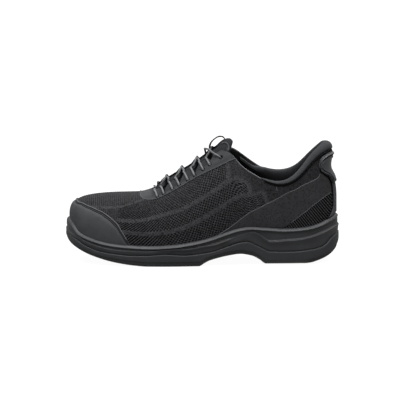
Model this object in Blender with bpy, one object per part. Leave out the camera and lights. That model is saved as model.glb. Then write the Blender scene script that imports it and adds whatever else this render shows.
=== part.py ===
"""Low-cut knit safety trainer for the left foot, standing empty on a floor.

Frame: metres, +Z up, toe towards -X, outer (lateral) side towards -Y, origin on the floor under the
middle of the shoe's box. Every piece is worked out from one ring angle that runs round the shoe:
0 at the toe tip, pi at the back of the heel, the lateral side first and the medial side after it.
"""

import math

import bmesh
import bpy
import numpy as np
from mathutils import Vector

MM = 0.001
FULL_TURN = 2 * math.pi

# Driving sizes
LENGTH = 300 * MM
GAP = 0.35 * MM
WALL = 2.4 * MM
TOE_SWING = 10.5 * MM
HEEL_SHIFT = 2.0 * MM
MEDIAL_LIFT = 4.0 * MM

# Sole side wall
RIM_WIDTH = 3.6 * MM
BEAD_HEIGHT = 3.2 * MM
RIDGE_HEIGHT = 1.6 * MM
FLUTE_DEPTH = 2.2 * MM
TREAD_STEP = 5.0 * MM
SOLE_FLOOR = 4.0 * MM

# Tread grooves
GROOVE_WIDTH = 3.0 * MM
GROOVE_DEPTH = 2.0 * MM
FORE_GROOVES = (-92, -70, -48, -26)
HEEL_GROOVES = (84, 98, 112)
HEEL_GROOVE_LENGTH = 44 * MM

# Upper, overlays and trim
OVERLAY_GAP = 0.6 * MM
EYESTAY_GAP = 1.0 * MM
OUTWARD_LEAN = 0.06
INSOLE_THICKNESS = 5.0 * MM
TOE_GUARD_THICKNESS = 1.1 * MM
EYESTAY_THICKNESS = 1.1 * MM
COUNTER_THICKNESS = 0.8 * MM
BACKSTAY_THICKNESS = 1.6 * MM
HEEL_TAB_THICKNESS = 2.2 * MM
LACE_DIAMETER = 2.6 * MM
LOOP_WIDTH = 7.0 * MM
LOOP_THICKNESS = 1.0 * MM

# Lacing: four finger tabs a side, two lace holes on each, and one punched eyelet above them
FIRST_TAB_X = -45.5 * MM
TAB_PITCH = 16.8 * MM
TAB_COUNT = 4
HOLE_HALF_GAP = 3.7 * MM
EYELET_X = 20.5 * MM
EYELET_RADIUS = 1.9 * MM
FIRST_HOLE_LEVEL = 0.775
EYELET_LEVEL = 0.94
TAB_TOP = 1.055
NOTCH_HEIGHT = 0.045
LACE_LIFT = 3.0 * MM
LAST_LACE_LIFT = 4.0 * MM

# Sampling
AROUND = 68
MIDDLE_CROWDING = 0.15
UPPER_LEVELS = (-1.0, 0.0, 0.10, 0.21, 0.33, 0.46, 0.60, 0.74, 0.88, 1.0)
SOLE_BREAKS = (0.487, 0.503, 0.664, 0.735, 0.747)
TINY_ANGLE = 1e-4

# Plan outline of the sole: share of the length from the toe, edge distance from the long axis in mm
OUTLINE_COLUMNS = ("along", "lateral", "medial")
OUTLINE = (
    (0.03, 20.5, 36.0),
    (0.08, 36.0, 45.7),
    (0.16, 46.8, 51.8),
    (0.26, 52.5, 54.4),
    (0.36, 54.4, 52.0),
    (0.48, 51.0, 44.2),
    (0.60, 44.8, 38.2),
    (0.72, 40.2, 37.6),
    (0.82, 38.6, 39.3),
    (0.91, 33.2, 36.0),
    (0.97, 20.2, 23.8),
)

# Lines along the side of the sole: share of the length from the toe, height above the floor in mm
SOLE_LINES = {
    "bottom": (
        (0.0, 26.2), (0.024, 19.5), (0.068, 13.2), (0.112, 8.5), (0.156, 5.0), (0.20, 2.7),
        (0.25, 0.9), (0.30, 0.0), (0.487, 0.0), (0.503, 3.4), (0.53, 6.4), (0.60, 11.3),
        (0.64, 12.5), (0.685, 10.0), (0.71, 5.6), (0.735, 0.0), (0.875, 0.0), (0.91, 1.9),
        (0.945, 5.4), (0.972, 9.8), (0.991, 16.5), (1.0, 25.5),
    ),
    "tread_in": ((0.0, 4.6), (0.50, 4.6), (0.72, 9.0), (0.88, 9.0), (0.95, 4.6), (1.0, 4.6)),
    "split": (
        (0.0, 36.5), (0.034, 31.5), (0.088, 24.8), (0.133, 19.7), (0.20, 15.1), (0.30, 13.0),
        (0.363, 15.9), (0.436, 13.7), (0.51, 16.1), (0.583, 22.1), (0.638, 26.9), (0.664, 27.7),
        (0.697, 23.1), (0.747, 15.3), (0.832, 14.8), (0.893, 16.5), (0.931, 18.6), (0.955, 22.3),
        (0.973, 28.0), (1.0, 34.5),
    ),
    "rib": (
        (0.0, 41.0), (0.034, 34.2), (0.088, 27.2), (0.133, 22.6), (0.20, 18.3), (0.30, 16.2),
        (0.36, 18.6), (0.40, 19.4), (0.436, 19.2), (0.51, 22.7), (0.572, 27.8), (0.616, 31.4),
        (0.664, 35.4), (0.689, 37.2), (0.72, 31.9), (0.747, 27.2), (0.775, 27.1), (0.832, 28.8),
        (0.893, 31.8), (0.938, 35.5), (1.0, 41.5),
    ),
    "rib_out": (
        (0.0, -0.9), (0.30, -0.9), (0.37, -0.4), (0.42, 0.0), (0.57, 0.0), (0.62, -1.7),
        (0.665, -1.7), (0.70, 0.0), (1.0, 0.3),
    ),
    "rim": (
        (0.0, 47.0), (0.013, 43.4), (0.044, 33.9), (0.088, 29.2), (0.143, 25.4), (0.216, 22.7),
        (0.308, 21.8), (0.40, 23.9), (0.491, 28.9), (0.565, 36.1), (0.638, 41.7), (0.675, 42.7),
        (0.73, 41.3), (0.803, 39.8), (0.876, 41.8), (0.931, 45.3), (0.968, 49.4), (1.0, 53.0),
    ),
    "rim_in": (
        (0.0, 2.6), (0.02, 2.0), (0.06, 1.0), (0.13, 0.3), (0.25, 0.0), (0.95, 0.0), (1.0, 0.9),
    ),
    "bed": (
        (0.0, 31.0), (0.05, 28.5), (0.10, 24.6), (0.20, 20.0), (0.30, 18.0), (0.40, 18.6),
        (0.50, 21.5), (0.60, 26.0), (0.70, 29.6), (0.80, 31.2), (0.90, 32.0), (1.0, 32.4),
    ),
}

# Sections of the last, toe to heel. along: foot of the section on the rim; top_x, spread, top_z: its
# top edge at the throat or collar in mm (spread is the half gap); rise, reach: lengths in mm of the
# curve's pull at its foot and at its edge; slope: angle of the wall at the edge, over 90 flares out
LAST_COLUMNS = ("along", "top_x", "spread", "top_z", "lift", "rise", "reach", "slope")
LAST = (
    (0.000, -58.5, 0.0, 77.4, 0.0, 32, 62, 6),
    (0.050, -58.0, 5.5, 77.2, 0.0, 31, 58, 6),
    (0.120, -56.0, 10.0, 76.8, 0.0, 29, 48, 9),
    (0.200, -51.5, 12.4, 77.6, 0.0, 27, 38, 15),
    (0.300, -37.5, 13.6, 84.0, 0.0, 26, 32, 22),
    (0.400, -19.0, 14.2, 95.2, 0.0, 26, 31, 27),
    (0.500, 2.0, 15.0, 108.2, 0.0, 26, 32, 31),
    (0.580, 20.5, 16.8, 119.4, 0.0, 26, 33, 38),
    (0.632, 31.0, 20.0, 122.2, 0.0, 25, 33, 48),
    (0.675, 42.0, 26.0, 114.0, 0.2, 23, 31, 60),
    (0.725, 57.5, 31.8, 103.8, 0.6, 20, 26, 70),
    (0.775, 74.0, 35.0, 92.0, 1.0, 17, 20, 78),
    (0.825, 90.0, 35.8, 87.6, 1.0, 16, 17, 83),
    (0.875, 105.0, 33.2, 92.6, 0.9, 18, 19, 85),
    (0.925, 119.5, 27.4, 107.0, 0.5, 21, 24, 86),
    (0.970, 134.0, 19.0, 119.8, 0.2, 24, 28, 92),
    (1.000, 142.0, 0.0, 121.8, 0.0, 25, 30, 99),
)

# Collar roll, from its front end on the lateral side to the back of the heel: share of the length,
# height above the upper's edge, padding thickness and depth inside the upper in mm
CUFF = (
    (0.660, 0.6, 2.2, 12),
    (0.700, 1.2, 4.0, 16),
    (0.760, 3.0, 6.5, 19),
    (0.830, 5.2, 8.0, 20),
    (0.900, 7.4, 9.0, 23),
    (0.950, 9.0, 9.5, 26),
    (1.000, 10.0, 10.0, 28),
)

# Toe guard's upper edge: share of the length on the rim, level on the upper
TOE_GUARD_EDGE = (
    (0.0, 0.36), (0.035, 0.40), (0.072, 0.43), (0.117, 0.41), (0.149, 0.356), (0.183, 0.247),
    (0.232, 0.03),
)

# Heel counter band: share of the length on the rim, lower and upper level on the upper
COUNTER_BAND = (
    (0.560, 0.012, 0.030), (0.637, 0.012, 0.146), (0.722, 0.012, 0.417), (0.790, 0.020, 0.675),
    (0.836, 0.190, 0.843), (0.875, 0.305, 0.800), (0.916, 0.367, 0.753), (0.947, 0.382, 0.735),
    (0.976, 0.386, 0.640),
)

# Heel tab: share of the length on the rim, lower and upper level on the upper
HEEL_TAB_BAND = (
    (0.9445, 0.885, 0.905), (0.949, 0.818, 0.930), (0.958, 0.765, 0.955), (0.972, 0.717, 0.970),
    (0.986, 0.630, 0.975), (1.0, 0.565, 0.978),
)

# Backstay: level on the upper, half width in ring angle
BACKSTAY_STRIP = (
    (0.014, 0.40), (0.05, 0.345), (0.10, 0.28), (0.17, 0.225), (0.32, 0.185), (0.54, 0.170),
)

# Eyestay's outer edge: share of the length on the rim, level on the upper
EYESTAY_EDGE = (
    (0.0, 0.905), (0.08, 0.895), (0.15, 0.855), (0.20, 0.79), (0.24, 0.725), (0.30, 0.695),
    (0.378, 0.731), (0.486, 0.789), (0.582, 0.869), (0.632, 0.915),
)

# Tongue, from the foot of the throat upwards: share of the length, bulge between the eyestays and
# thickness in mm; then its free top: steps back and up in mm, width share, thickness in mm
TONGUE = (
    (0.150, -1.0, 3.0),
    (0.200, 2.0, 3.5),
    (0.260, 4.4, 4.0),
    (0.330, 6.2, 4.5),
    (0.410, 7.2, 5.0),
    (0.490, 8.0, 6.0),
    (0.545, 10.0, 8.5),
    (0.585, 13.4, 11.5),
)
TONGUE_TOP = ((4.0, 2.8, 0.57, 11.5), (8.0, 4.2, 0.55, 8.5), (10.8, 2.6, 0.48, 2.5))
TONGUE_TUCK = (-9.0, -3.2)
TONGUE_SIDE_LEVELS = (0.80, 0.90, 0.98)
TONGUE_ACROSS = (0.14, 0.32, 0.5, 0.68, 0.86)

# Pull loop's path above the tongue, x and z in mm
LOOP_PATH = (
    (13.8, 129.2), (11.2, 130.0), (10.0, 132.2), (10.9, 134.7),
    (13.7, 136.6), (17.6, 137.4), (21.4, 136.8), (23.2, 134.6),
)

# Sole and upper: pieces' colours (sRGB), roughness
FINISHES = {
    "outsole": ((0.135, 0.135, 0.14), 0.62),
    "midsole": ((0.16, 0.16, 0.165), 0.55),
    "upper": ((0.10, 0.10, 0.105), 0.92),
    "toe_guard": ((0.19, 0.19, 0.195), 0.6),
    "eyestay": ((0.21, 0.21, 0.215), 0.9),
    "counter": ((0.13, 0.13, 0.135), 0.9),
    "backstay": ((0.15, 0.15, 0.155), 0.9),
    "heel_tab": ((0.24, 0.24, 0.245), 0.5),
    "collar_cuff": ((0.15, 0.15, 0.155), 0.95),
    "tongue": ((0.15, 0.15, 0.155), 0.95),
    "tongue_loop": ((0.08, 0.08, 0.082), 0.8),
    "lace": ((0.36, 0.36, 0.365), 0.7),
    "insole": ((0.07, 0.07, 0.072), 0.95),
}


# Interpolation


def ring_angle(along):
    """Ring angle on the lateral side of a share of the length from the toe."""
    return np.arccos(1 - 2 * np.asarray(along, float))


def hermite(knots, values, slopes, at):
    """Cubic through the knots with the given slopes."""
    at = np.asarray(at, float)
    i = np.clip(np.searchsorted(knots, at, side="right") - 1, 0, len(knots) - 2)
    step = knots[i + 1] - knots[i]
    t = (at - knots[i]) / step
    return (
        values[i] * (1 + 2 * t) * (1 - t) ** 2
        + slopes[i] * step * t * (1 - t) ** 2
        + values[i + 1] * t**2 * (3 - 2 * t)
        + slopes[i + 1] * step * t**2 * (t - 1)
    )


def no_overshoot(rows, at, of=1):
    """Smooth line through (along, value) rows over the ring angle, flat at its ends, never past a row."""
    knots = ring_angle([row[0] for row in rows])
    values = np.array([row[of] for row in rows], float)
    chords = np.diff(values) / np.diff(knots)
    slopes = np.zeros(len(rows))
    same_way = chords[:-1] * chords[1:] > 0
    safe = np.where(same_way, chords[:-1] + chords[1:], 1.0)
    slopes[1:-1] = np.where(same_way, 2 * chords[:-1] * chords[1:] / safe, 0.0)
    return hermite(knots, values, slopes, np.clip(folded(at), knots[0], knots[-1]))


def closed_spline(knots, values, at):
    """Smooth closed curve over the full ring through the knots, with no break in bend."""
    count = len(knots)
    after = np.roll(np.arange(count), -1)
    before = np.roll(np.arange(count), 1)
    ahead = (knots[after] - knots) % FULL_TURN
    behind = ahead[before]
    matrix = np.zeros((count, count))
    here = np.arange(count)
    matrix[here, before] += 1 / behind
    matrix[here, here] += 2 / behind + 2 / ahead
    matrix[here, after] += 1 / ahead
    chord = 3 * ((values - values[before]) / behind**2 + (values[after] - values) / ahead**2)
    slopes = np.linalg.solve(matrix, chord)
    first = knots[0]
    return hermite(
        np.append(knots, first + FULL_TURN),
        np.append(values, values[0]),
        np.append(slopes, slopes[0]),
        first + (np.asarray(at, float) - first) % FULL_TURN,
    )


def folded(theta):
    """The lateral ring angle at the same share of the length."""
    theta = np.asarray(theta, float) % FULL_TURN
    return np.minimum(theta, FULL_TURN - theta)


def column(table, names, wanted):
    return np.array([row[names.index(wanted)] for row in table], float)


# Outline of the sole and the last's surface


def centre_line(theta):
    """Y of the long axis of the foot: straight from the heel, swinging inwards to the big toe."""
    toe_share = (1 + np.cos(theta)) / 2
    return HEEL_SHIFT + (TOE_SWING - HEEL_SHIFT) * toe_share**2


def outline(theta, inset=0.0):
    """Plan point of the sole's edge, moved inwards along its normal by inset."""
    theta = np.asarray(theta, float)

    def edge(at):
        knots = ring_angle(column(OUTLINE, OUTLINE_COLUMNS, "along"))
        middle = centre_line(knots)
        lateral = (column(OUTLINE, OUTLINE_COLUMNS, "lateral") * MM + middle) / np.sin(knots)
        medial = (column(OUTLINE, OUTLINE_COLUMNS, "medial") * MM - middle) / np.sin(knots)
        ring = np.concatenate([knots, FULL_TURN - knots[::-1]])
        width = closed_spline(ring, np.concatenate([lateral, medial[::-1]]), at)
        return np.stack([-LENGTH / 2 * np.cos(at), centre_line(at) - width * np.sin(at)], -1)

    along = edge(theta + TINY_ANGLE) - edge(theta - TINY_ANGLE)
    along /= np.linalg.norm(along, axis=-1, keepdims=True)
    outward = np.stack([along[..., 1], -along[..., 0]], -1)
    return edge(theta) - np.asarray(inset)[..., None] * outward


def sole_line(name, theta):
    """Height of one of the sole's lines, in metres."""
    return no_overshoot(SOLE_LINES[name], theta) * MM


def last_value(name, theta):
    """A column of the last's sections, read smoothly round the whole ring."""
    knots = ring_angle(column(LAST, LAST_COLUMNS, "along"))
    values = column(LAST, LAST_COLUMNS, name)
    lateral_share = {"spread": -1.0, "lift": 0.0}.get(name, 1.0)
    both = np.concatenate([lateral_share * values, values[1:-1][::-1]])
    ring = np.concatenate([knots, FULL_TURN - knots[1:-1][::-1]])
    return closed_spline(ring, both, theta)


def throat_line(x):
    """Y of the middle of the throat and collar at a place along the shoe."""
    toe_share = 0.5 - np.asarray(x) / LENGTH
    return HEEL_SHIFT + (TOE_SWING - HEEL_SHIFT) * np.clip(toe_share, 0, 1) ** 2


def upper_point(theta, level):
    """Outer face of the upper; level -1 is its foot on the bed, 0 the sole's rim, 1 the top edge."""
    theta, level = np.broadcast_arrays(np.asarray(theta, float), np.asarray(level, float))
    plan = outline(theta, RIM_WIDTH + GAP + sole_line("rim_in", theta))
    rim = sole_line("rim", theta)
    bed = sole_line("bed", theta) + GAP
    foot = np.concatenate([plan, rim[..., None]], -1)
    top_x = last_value("top_x", theta) * MM
    top_y = throat_line(top_x) + last_value("spread", theta) * MM
    top_z = last_value("top_z", theta) * MM + last_value("lift", theta) * MEDIAL_LIFT
    edge = np.stack([top_x, top_y, top_z], -1)

    inward = outline(theta, np.ones(theta.shape)) - outline(theta)
    heading = (edge - foot)[..., :2] + 4 * MM * inward
    heading /= np.linalg.norm(heading, axis=-1, keepdims=True)
    slope = np.radians(last_value("slope", theta))
    arrive = np.concatenate([heading * np.cos(slope)[..., None], np.sin(slope)[..., None]], -1)
    leave = np.concatenate([-OUTWARD_LEAN * inward, np.ones(theta.shape + (1,))], -1)
    rise = last_value("rise", theta)[..., None] * MM
    reach = last_value("reach", theta)[..., None] * MM

    v = np.maximum(level, 0.0)[..., None]
    curve = (
        foot * (1 - v) ** 3
        + 3 * (foot + rise * leave) * v * (1 - v) ** 2
        + 3 * (edge - reach * arrive) * v**2 * (1 - v)
        + edge * v**3
    )
    curve[..., 2] += np.minimum(level, 0.0) * (rim - bed)
    return curve


def upper_out(theta, level, out):
    """Point at a distance out from the upper's outer face, along its normal."""
    theta, level, out = np.broadcast_arrays(
        np.asarray(theta, float), np.asarray(level, float), np.asarray(out, float)
    )
    step = 0.004
    centre = np.maximum(level, step)
    around = upper_point(theta + TINY_ANGLE, centre) - upper_point(theta - TINY_ANGLE, centre)
    upward = upper_point(theta, centre + step) - upper_point(theta, centre - step)
    normal = np.cross(around, upward)
    normal[..., 2] = np.where(level <= 0, 0.0, normal[..., 2])
    normal /= np.linalg.norm(normal, axis=-1, keepdims=True)
    return upper_point(theta, level) + out[..., None] * normal


def throat_angle(x, level):
    """Lateral ring angle at which the upper passes a place along the throat."""
    scan = np.linspace(ring_angle(0.13), ring_angle(0.632), 300)
    return np.interp(x, upper_point(scan, np.full(scan.shape, level))[:, 0], scan)


# Mesh making


def new_piece(name, finish, vertices, faces):
    """One named object from quads, its doubled points merged and its faces turned outwards."""
    mesh = bpy.data.meshes.new(name)
    mesh.from_pydata([tuple(p) for p in vertices], [], [tuple(f) for f in faces])
    shape = bmesh.new()
    shape.from_mesh(mesh)
    bmesh.ops.remove_doubles(shape, verts=shape.verts, dist=1e-6)
    bmesh.ops.recalc_face_normals(shape, faces=shape.faces)
    bmesh.ops.triangulate(shape, faces=shape.faces)
    shape.to_mesh(mesh)
    shape.free()
    mesh.shade_smooth()
    mesh.set_sharp_from_angle(angle=math.radians(35))
    mesh.materials.append(material(finish))
    piece = bpy.data.objects.new(name, mesh)
    shoe_parts.objects.link(piece)
    piece.parent = shoe_origin
    return piece


def material(finish):
    found = bpy.data.materials.get(finish)
    if found:
        return found
    colour, roughness = FINISHES[finish]
    made = bpy.data.materials.new(finish)
    made.use_nodes = True
    shader = made.node_tree.nodes["Principled BSDF"]
    linear = [c / 12.92 if c <= 0.04045 else ((c + 0.055) / 1.055) ** 2.4 for c in colour]
    shader.inputs["Base Color"].default_value = (*linear, 1)
    shader.inputs["Roughness"].default_value = roughness
    shader.inputs["Metallic"].default_value = 0.0
    return made


def grid_faces(rows, columns, start=0, wrap=False):
    """Quads of a grid of points stored row by row."""
    r, c = np.meshgrid(np.arange(rows - 1), np.arange(columns if wrap else columns - 1), indexing="ij")
    here = start + r * columns + c
    beside = start + r * columns + (c + 1) % columns
    return np.stack([here, beside, beside + columns, here + columns], -1).reshape(-1, 4)


def strip_faces(first, second, closed=False):
    """Quads between two equally long runs of point numbers."""
    first, second = np.asarray(first), np.asarray(second)
    if closed:
        first, second = np.append(first, first[0]), np.append(second, second[0])
    return np.stack([first[:-1], first[1:], second[1:], second[:-1]], -1)


def plate(name, finish, outer, inner, wrap=False):
    """Closed wall between two grids of points; wrap joins the last column to the first."""
    rows, columns = outer.shape[:2]
    size = rows * columns
    number = np.arange(size).reshape(rows, columns)
    faces = [grid_faces(rows, columns, 0, wrap), grid_faces(rows, columns, size, wrap)[:, ::-1]]
    for row in (0, -1):
        faces.append(strip_faces(number[row], number[row] + size, wrap))
    if not wrap:
        for side in (0, -1):
            faces.append(strip_faces(number[:, side], number[:, side] + size))
    points = np.concatenate([outer.reshape(-1, 3), inner.reshape(-1, 3)])
    return new_piece(name, finish, points, np.concatenate(faces))


def loft(name, finish, sections, capped=False):
    """Closed body through rings of points; its ends are capped, or shrink to a line and are merged."""
    count, around = sections.shape[:2]
    faces = [tuple(f) for f in grid_faces(count, around, 0, True)]
    if capped:
        faces.append(tuple(range(around)))
        faces.append(tuple(range((count - 1) * around, count * around)))
    return new_piece(name, finish, sections.reshape(-1, 3), faces)


# Sole


def sole_stations():
    """Ring angles from toe to heel, crowded towards the middle, with one at each break of a line."""
    even = np.linspace(0, math.pi, AROUND // 2 + 1)
    stations = even + MIDDLE_CROWDING * np.sin(2 * even)
    breaks = ring_angle(SOLE_BREAKS)
    far = np.abs(stations[:, None] - breaks[None]).min(1) > 0.022
    far[[0, -1]] = True
    return np.sort(np.concatenate([stations[far], breaks]))


def side_points(theta, levels):
    """Points of a side wall: each level is (distance out from the sole's outline, height)."""
    points = []
    for out, height in levels:
        plan = outline(theta, -np.broadcast_to(out, theta.shape))
        points.append(np.concatenate([plan, np.broadcast_to(height, theta.shape)[..., None]], -1))
    return np.stack(points, 1)


def across(lateral, medial, height, count):
    """Points straight across from a lateral to a medial edge, all at a given height."""
    share = (np.arange(1, count + 1) / (count + 1))[None, :, None]
    points = lateral[:, None] * (1 - share) + medial[:, None] * share
    points[..., 2] = height[:, None]
    return points


def seam_heights(theta):
    """Where midsole and outsole meet: height at the wall, just inside it, and under the foot."""
    at_wall = sole_line("split", theta)
    bed = sole_line("bed", theta)
    inside = np.minimum(at_wall, bed - SOLE_FLOOR)
    return at_wall, inside, np.minimum(inside, (sole_line("bottom", theta) + bed) / 2)


def build_midsole():
    """Cup with a beaded rim, fluted side, rib and ridge; the upper stands in it."""
    theta = sole_stations()
    wall, inside, core = seam_heights(theta)
    rib, rim, bed = (sole_line(name, theta) for name in ("rib", "rim", "bed"))
    rib_out = sole_line("rib_out", theta)
    rim_in = sole_line("rim_in", theta)
    ridge = wall + RIDGE_HEIGHT
    bead = rim - BEAD_HEIGHT
    rib = np.clip(rib, ridge + 1.0 * MM, bead - 0.6 * MM)
    low_flute = np.minimum(FLUTE_DEPTH, 0.42 * (rib - ridge))
    high_flute = np.minimum(FLUTE_DEPTH, 0.42 * (bead - rib) + 0.6 * MM)
    levels = [
        (-2.6 * MM, inside),
        (-1.6 * MM, wall),
        (0.0, ridge - 0.6 * MM),
        (-0.2 * MM, ridge),
        (-low_flute, 0.55 * ridge + 0.45 * rib),
        (rib_out - 0.3 * rim_in, rib),
        (-high_flute - 0.6 * rim_in, 0.5 * rib + 0.5 * bead),
        (-1.5 * MM - 0.8 * rim_in, bead),
        (-rim_in, bead + 0.9 * MM),
        (-rim_in, rim - 0.9 * MM),
        (-1.0 * MM - rim_in, rim),
        (-RIM_WIDTH - rim_in, rim),
        (-RIM_WIDTH - rim_in, bed),
    ]
    lateral = side_points(theta, levels)
    medial = side_points(FULL_TURN - theta, levels)[:, ::-1]
    top = across(lateral[:, -1], medial[:, 0], bed, 1)
    under = across(medial[:, -1], lateral[:, 0], core, 3)
    loft("midsole", "midsole", np.concatenate([lateral, top, medial, under], 1))


def build_outsole():
    """Rockered tread with a stepped edge, an arch under the waist and cross grooves."""
    theta = sole_stations()
    wall, inside, core = seam_heights(theta)
    bottom = sole_line("bottom", theta)
    tread_in = sole_line("tread_in", theta)
    tall = np.minimum(1.0, (wall - bottom) / (11 * MM))
    levels = [
        (-2.2 * MM, inside - GAP),
        (-1.2 * MM, wall - GAP),
        (-0.2 * MM, wall - GAP - 1.0 * MM * tall),
        (0.0, bottom + TREAD_STEP * tall + 0.8 * MM),
        (-0.8 * MM, bottom + TREAD_STEP * tall),
        (-0.35 * tread_in, bottom + 2.2 * MM * tall),
        (-tread_in, bottom),
    ]
    lateral = side_points(theta, levels)
    medial = side_points(FULL_TURN - theta, levels)[:, ::-1]
    under = across(lateral[:, -1], medial[:, 0], bottom, 3)
    top = across(medial[:, -1], lateral[:, 0], core - GAP, 3)
    outsole = loft("outsole", "outsole", np.concatenate([lateral, under, medial, top], 1))
    cut(outsole, tread_cutter())


def tread_cutter():
    """Bars across the forefoot, open at both sides, and shorter bars inside the heel."""
    shape = bmesh.new()
    bars = [(x, 0.0, LENGTH) for x in FORE_GROOVES]
    bars += [(x, HEEL_SHIFT, HEEL_GROOVE_LENGTH) for x in HEEL_GROOVES]
    for x, y, length in bars:
        theta = ring_angle(x * MM / LENGTH + 0.5)
        depth = float(sole_line("bottom", theta)) + GROOVE_DEPTH
        box = bmesh.ops.create_cube(shape, size=1.0)["verts"]
        bmesh.ops.scale(shape, verts=box, vec=(GROOVE_WIDTH, length, 2 * depth))
        bmesh.ops.translate(shape, verts=box, vec=(x * MM, y, 0.0))
    return new_cutter("tread_grooves", shape)


def new_cutter(name, shape):
    mesh = bpy.data.meshes.new(name)
    shape.to_mesh(mesh)
    shape.free()
    cutter = bpy.data.objects.new(name, mesh)
    cutters.objects.link(cutter)
    cutter.parent = shoe_origin
    cutter.hide_render = True
    cutter.display_type = "WIRE"
    return cutter


def cut(piece, cutter):
    modifier = piece.modifiers.new("cut", "BOOLEAN")
    modifier.operation = "DIFFERENCE"
    modifier.solver = "EXACT"
    modifier.object = cutter


# Upper and what is inside it


def ring_stations():
    even = np.linspace(0, FULL_TURN, AROUND, endpoint=False)
    return even + MIDDLE_CROWDING * np.sin(2 * even)


def build_upper():
    """One hollow wall, open along the collar and throat and open underneath; its eyelets are punched."""
    theta, level = np.meshgrid(ring_stations(), UPPER_LEVELS)
    upper = plate("upper", "upper", upper_out(theta, level, 0.0), upper_out(theta, level, -WALL), wrap=True)
    cut(upper, eyelet_cutter())


def eyelet_cutter():
    """A pin through the upper and the eyestay at each top eyelet."""
    shape = bmesh.new()
    for theta in eyelet_angles():
        foot, head = upper_out(theta, EYELET_LEVEL, np.array([-3 * WALL, 3 * WALL]))
        pin = bmesh.ops.create_cone(
            shape, cap_ends=True, segments=10, radius1=EYELET_RADIUS, radius2=EYELET_RADIUS,
            depth=float(np.linalg.norm(head - foot)),
        )["verts"]
        turn = Vector(head - foot).to_track_quat("Z", "Y").to_matrix()
        bmesh.ops.rotate(shape, verts=pin, cent=(0, 0, 0), matrix=turn)
        bmesh.ops.translate(shape, verts=pin, vec=Vector((head + foot) / 2))
    return new_cutter("eyelet_pins", shape)


def eyelet_angles():
    theta = float(throat_angle(EYELET_X, EYELET_LEVEL))
    return theta, FULL_TURN - theta


def build_insole():
    """Flat footbed lying on the cup's bed inside the upper."""
    even = np.linspace(0, math.pi, 25)
    theta = even + MIDDLE_CROWDING * np.sin(2 * even)
    inset = RIM_WIDTH + WALL + 2.5 * GAP + sole_line("rim_in", theta)
    low = sole_line("bed", theta) + GAP
    levels = [(-inset, low), (-inset, low + INSOLE_THICKNESS)]
    lateral = side_points(theta, levels)
    medial = side_points(FULL_TURN - theta, levels)[:, ::-1]
    top = across(lateral[:, -1], medial[:, 0], low + INSOLE_THICKNESS, 1)
    under = across(medial[:, -1], lateral[:, 0], low, 1)
    loft("insole", "insole", np.concatenate([lateral, top, medial, under], 1))


def tongue_row(along, bulge):
    """Across the throat: under the lateral eyestay, over the gap in an arch, under the medial eyestay."""
    theta = float(ring_angle(along))
    levels = np.array(TONGUE_SIDE_LEVELS)
    lateral = upper_out(theta, levels, -WALL - 2.5 * GAP)
    medial = upper_out(FULL_TURN - theta, levels, -WALL - 2.5 * GAP)
    share = np.array(TONGUE_ACROSS)[:, None]
    arch = lateral[-1] * (1 - share) + medial[-1] * share
    arch[:, 2] += bulge * MM * 4 * (share * (1 - share))[:, 0]
    return np.concatenate([lateral, arch, medial[::-1]])


def grid_normals(grid):
    """Unit normals of a grid of points by differences along its rows and columns."""
    normal = np.cross(np.gradient(grid, axis=0), np.gradient(grid, axis=1))
    return normal / np.linalg.norm(normal, axis=-1, keepdims=True)


def build_tongue():
    """Padded tongue that follows the inside of the upper, tucked under the vamp, with a rounded top."""
    rows = [tongue_row(along, bulge) for along, bulge, _ in TONGUE]
    thick = [row[2] for row in TONGUE]
    tucked = rows[0] + np.array([TONGUE_TUCK[0], 0, TONGUE_TUCK[1]]) * MM
    last_row = rows[-1]
    middle = last_row.mean(0)
    for back, up, narrow, deep in TONGUE_TOP:
        row = last_row.copy()
        row[:, 1] = middle[1] + (row[:, 1] - middle[1]) * narrow
        row[:, 2] = row[:, 2].max() + (row[:, 2] - row[:, 2].max()) * narrow**1.5
        rows.append(row + np.array([back, 0, up]) * MM)
        thick.append(deep)
    outer = np.stack([tucked] + rows)
    depth = np.array([thick[0]] + thick) * MM
    from_edge = np.minimum(np.arange(outer.shape[1]), np.arange(outer.shape[1])[::-1])
    side_taper = np.minimum(1.0, 0.25 + 0.18 * from_edge)
    normal = grid_normals(outer)
    inner = outer - normal * (depth[:, None] * side_taper)[..., None]
    plate("tongue", "tongue", outer, inner)


def build_tongue_loop():
    """Narrow ribbon bent into a loop that stands in front of the tongue's top."""
    x, z = np.array(LOOP_PATH).T * MM
    path = np.stack([x, throat_line(x), z], -1)
    along = np.gradient(path, axis=0)
    out = np.stack([-along[:, 2], np.zeros(len(path)), along[:, 0]], -1)
    out /= np.linalg.norm(out, axis=1, keepdims=True)
    side = np.array([[0, -LOOP_WIDTH / 2, 0], [0, 0, 0], [0, LOOP_WIDTH / 2, 0]])
    outer = path[:, None] + side[None] + (out * LOOP_THICKNESS)[:, None]
    inner = path[:, None] + side[None]
    plate("tongue_loop", "tongue_loop", outer, inner)


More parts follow.
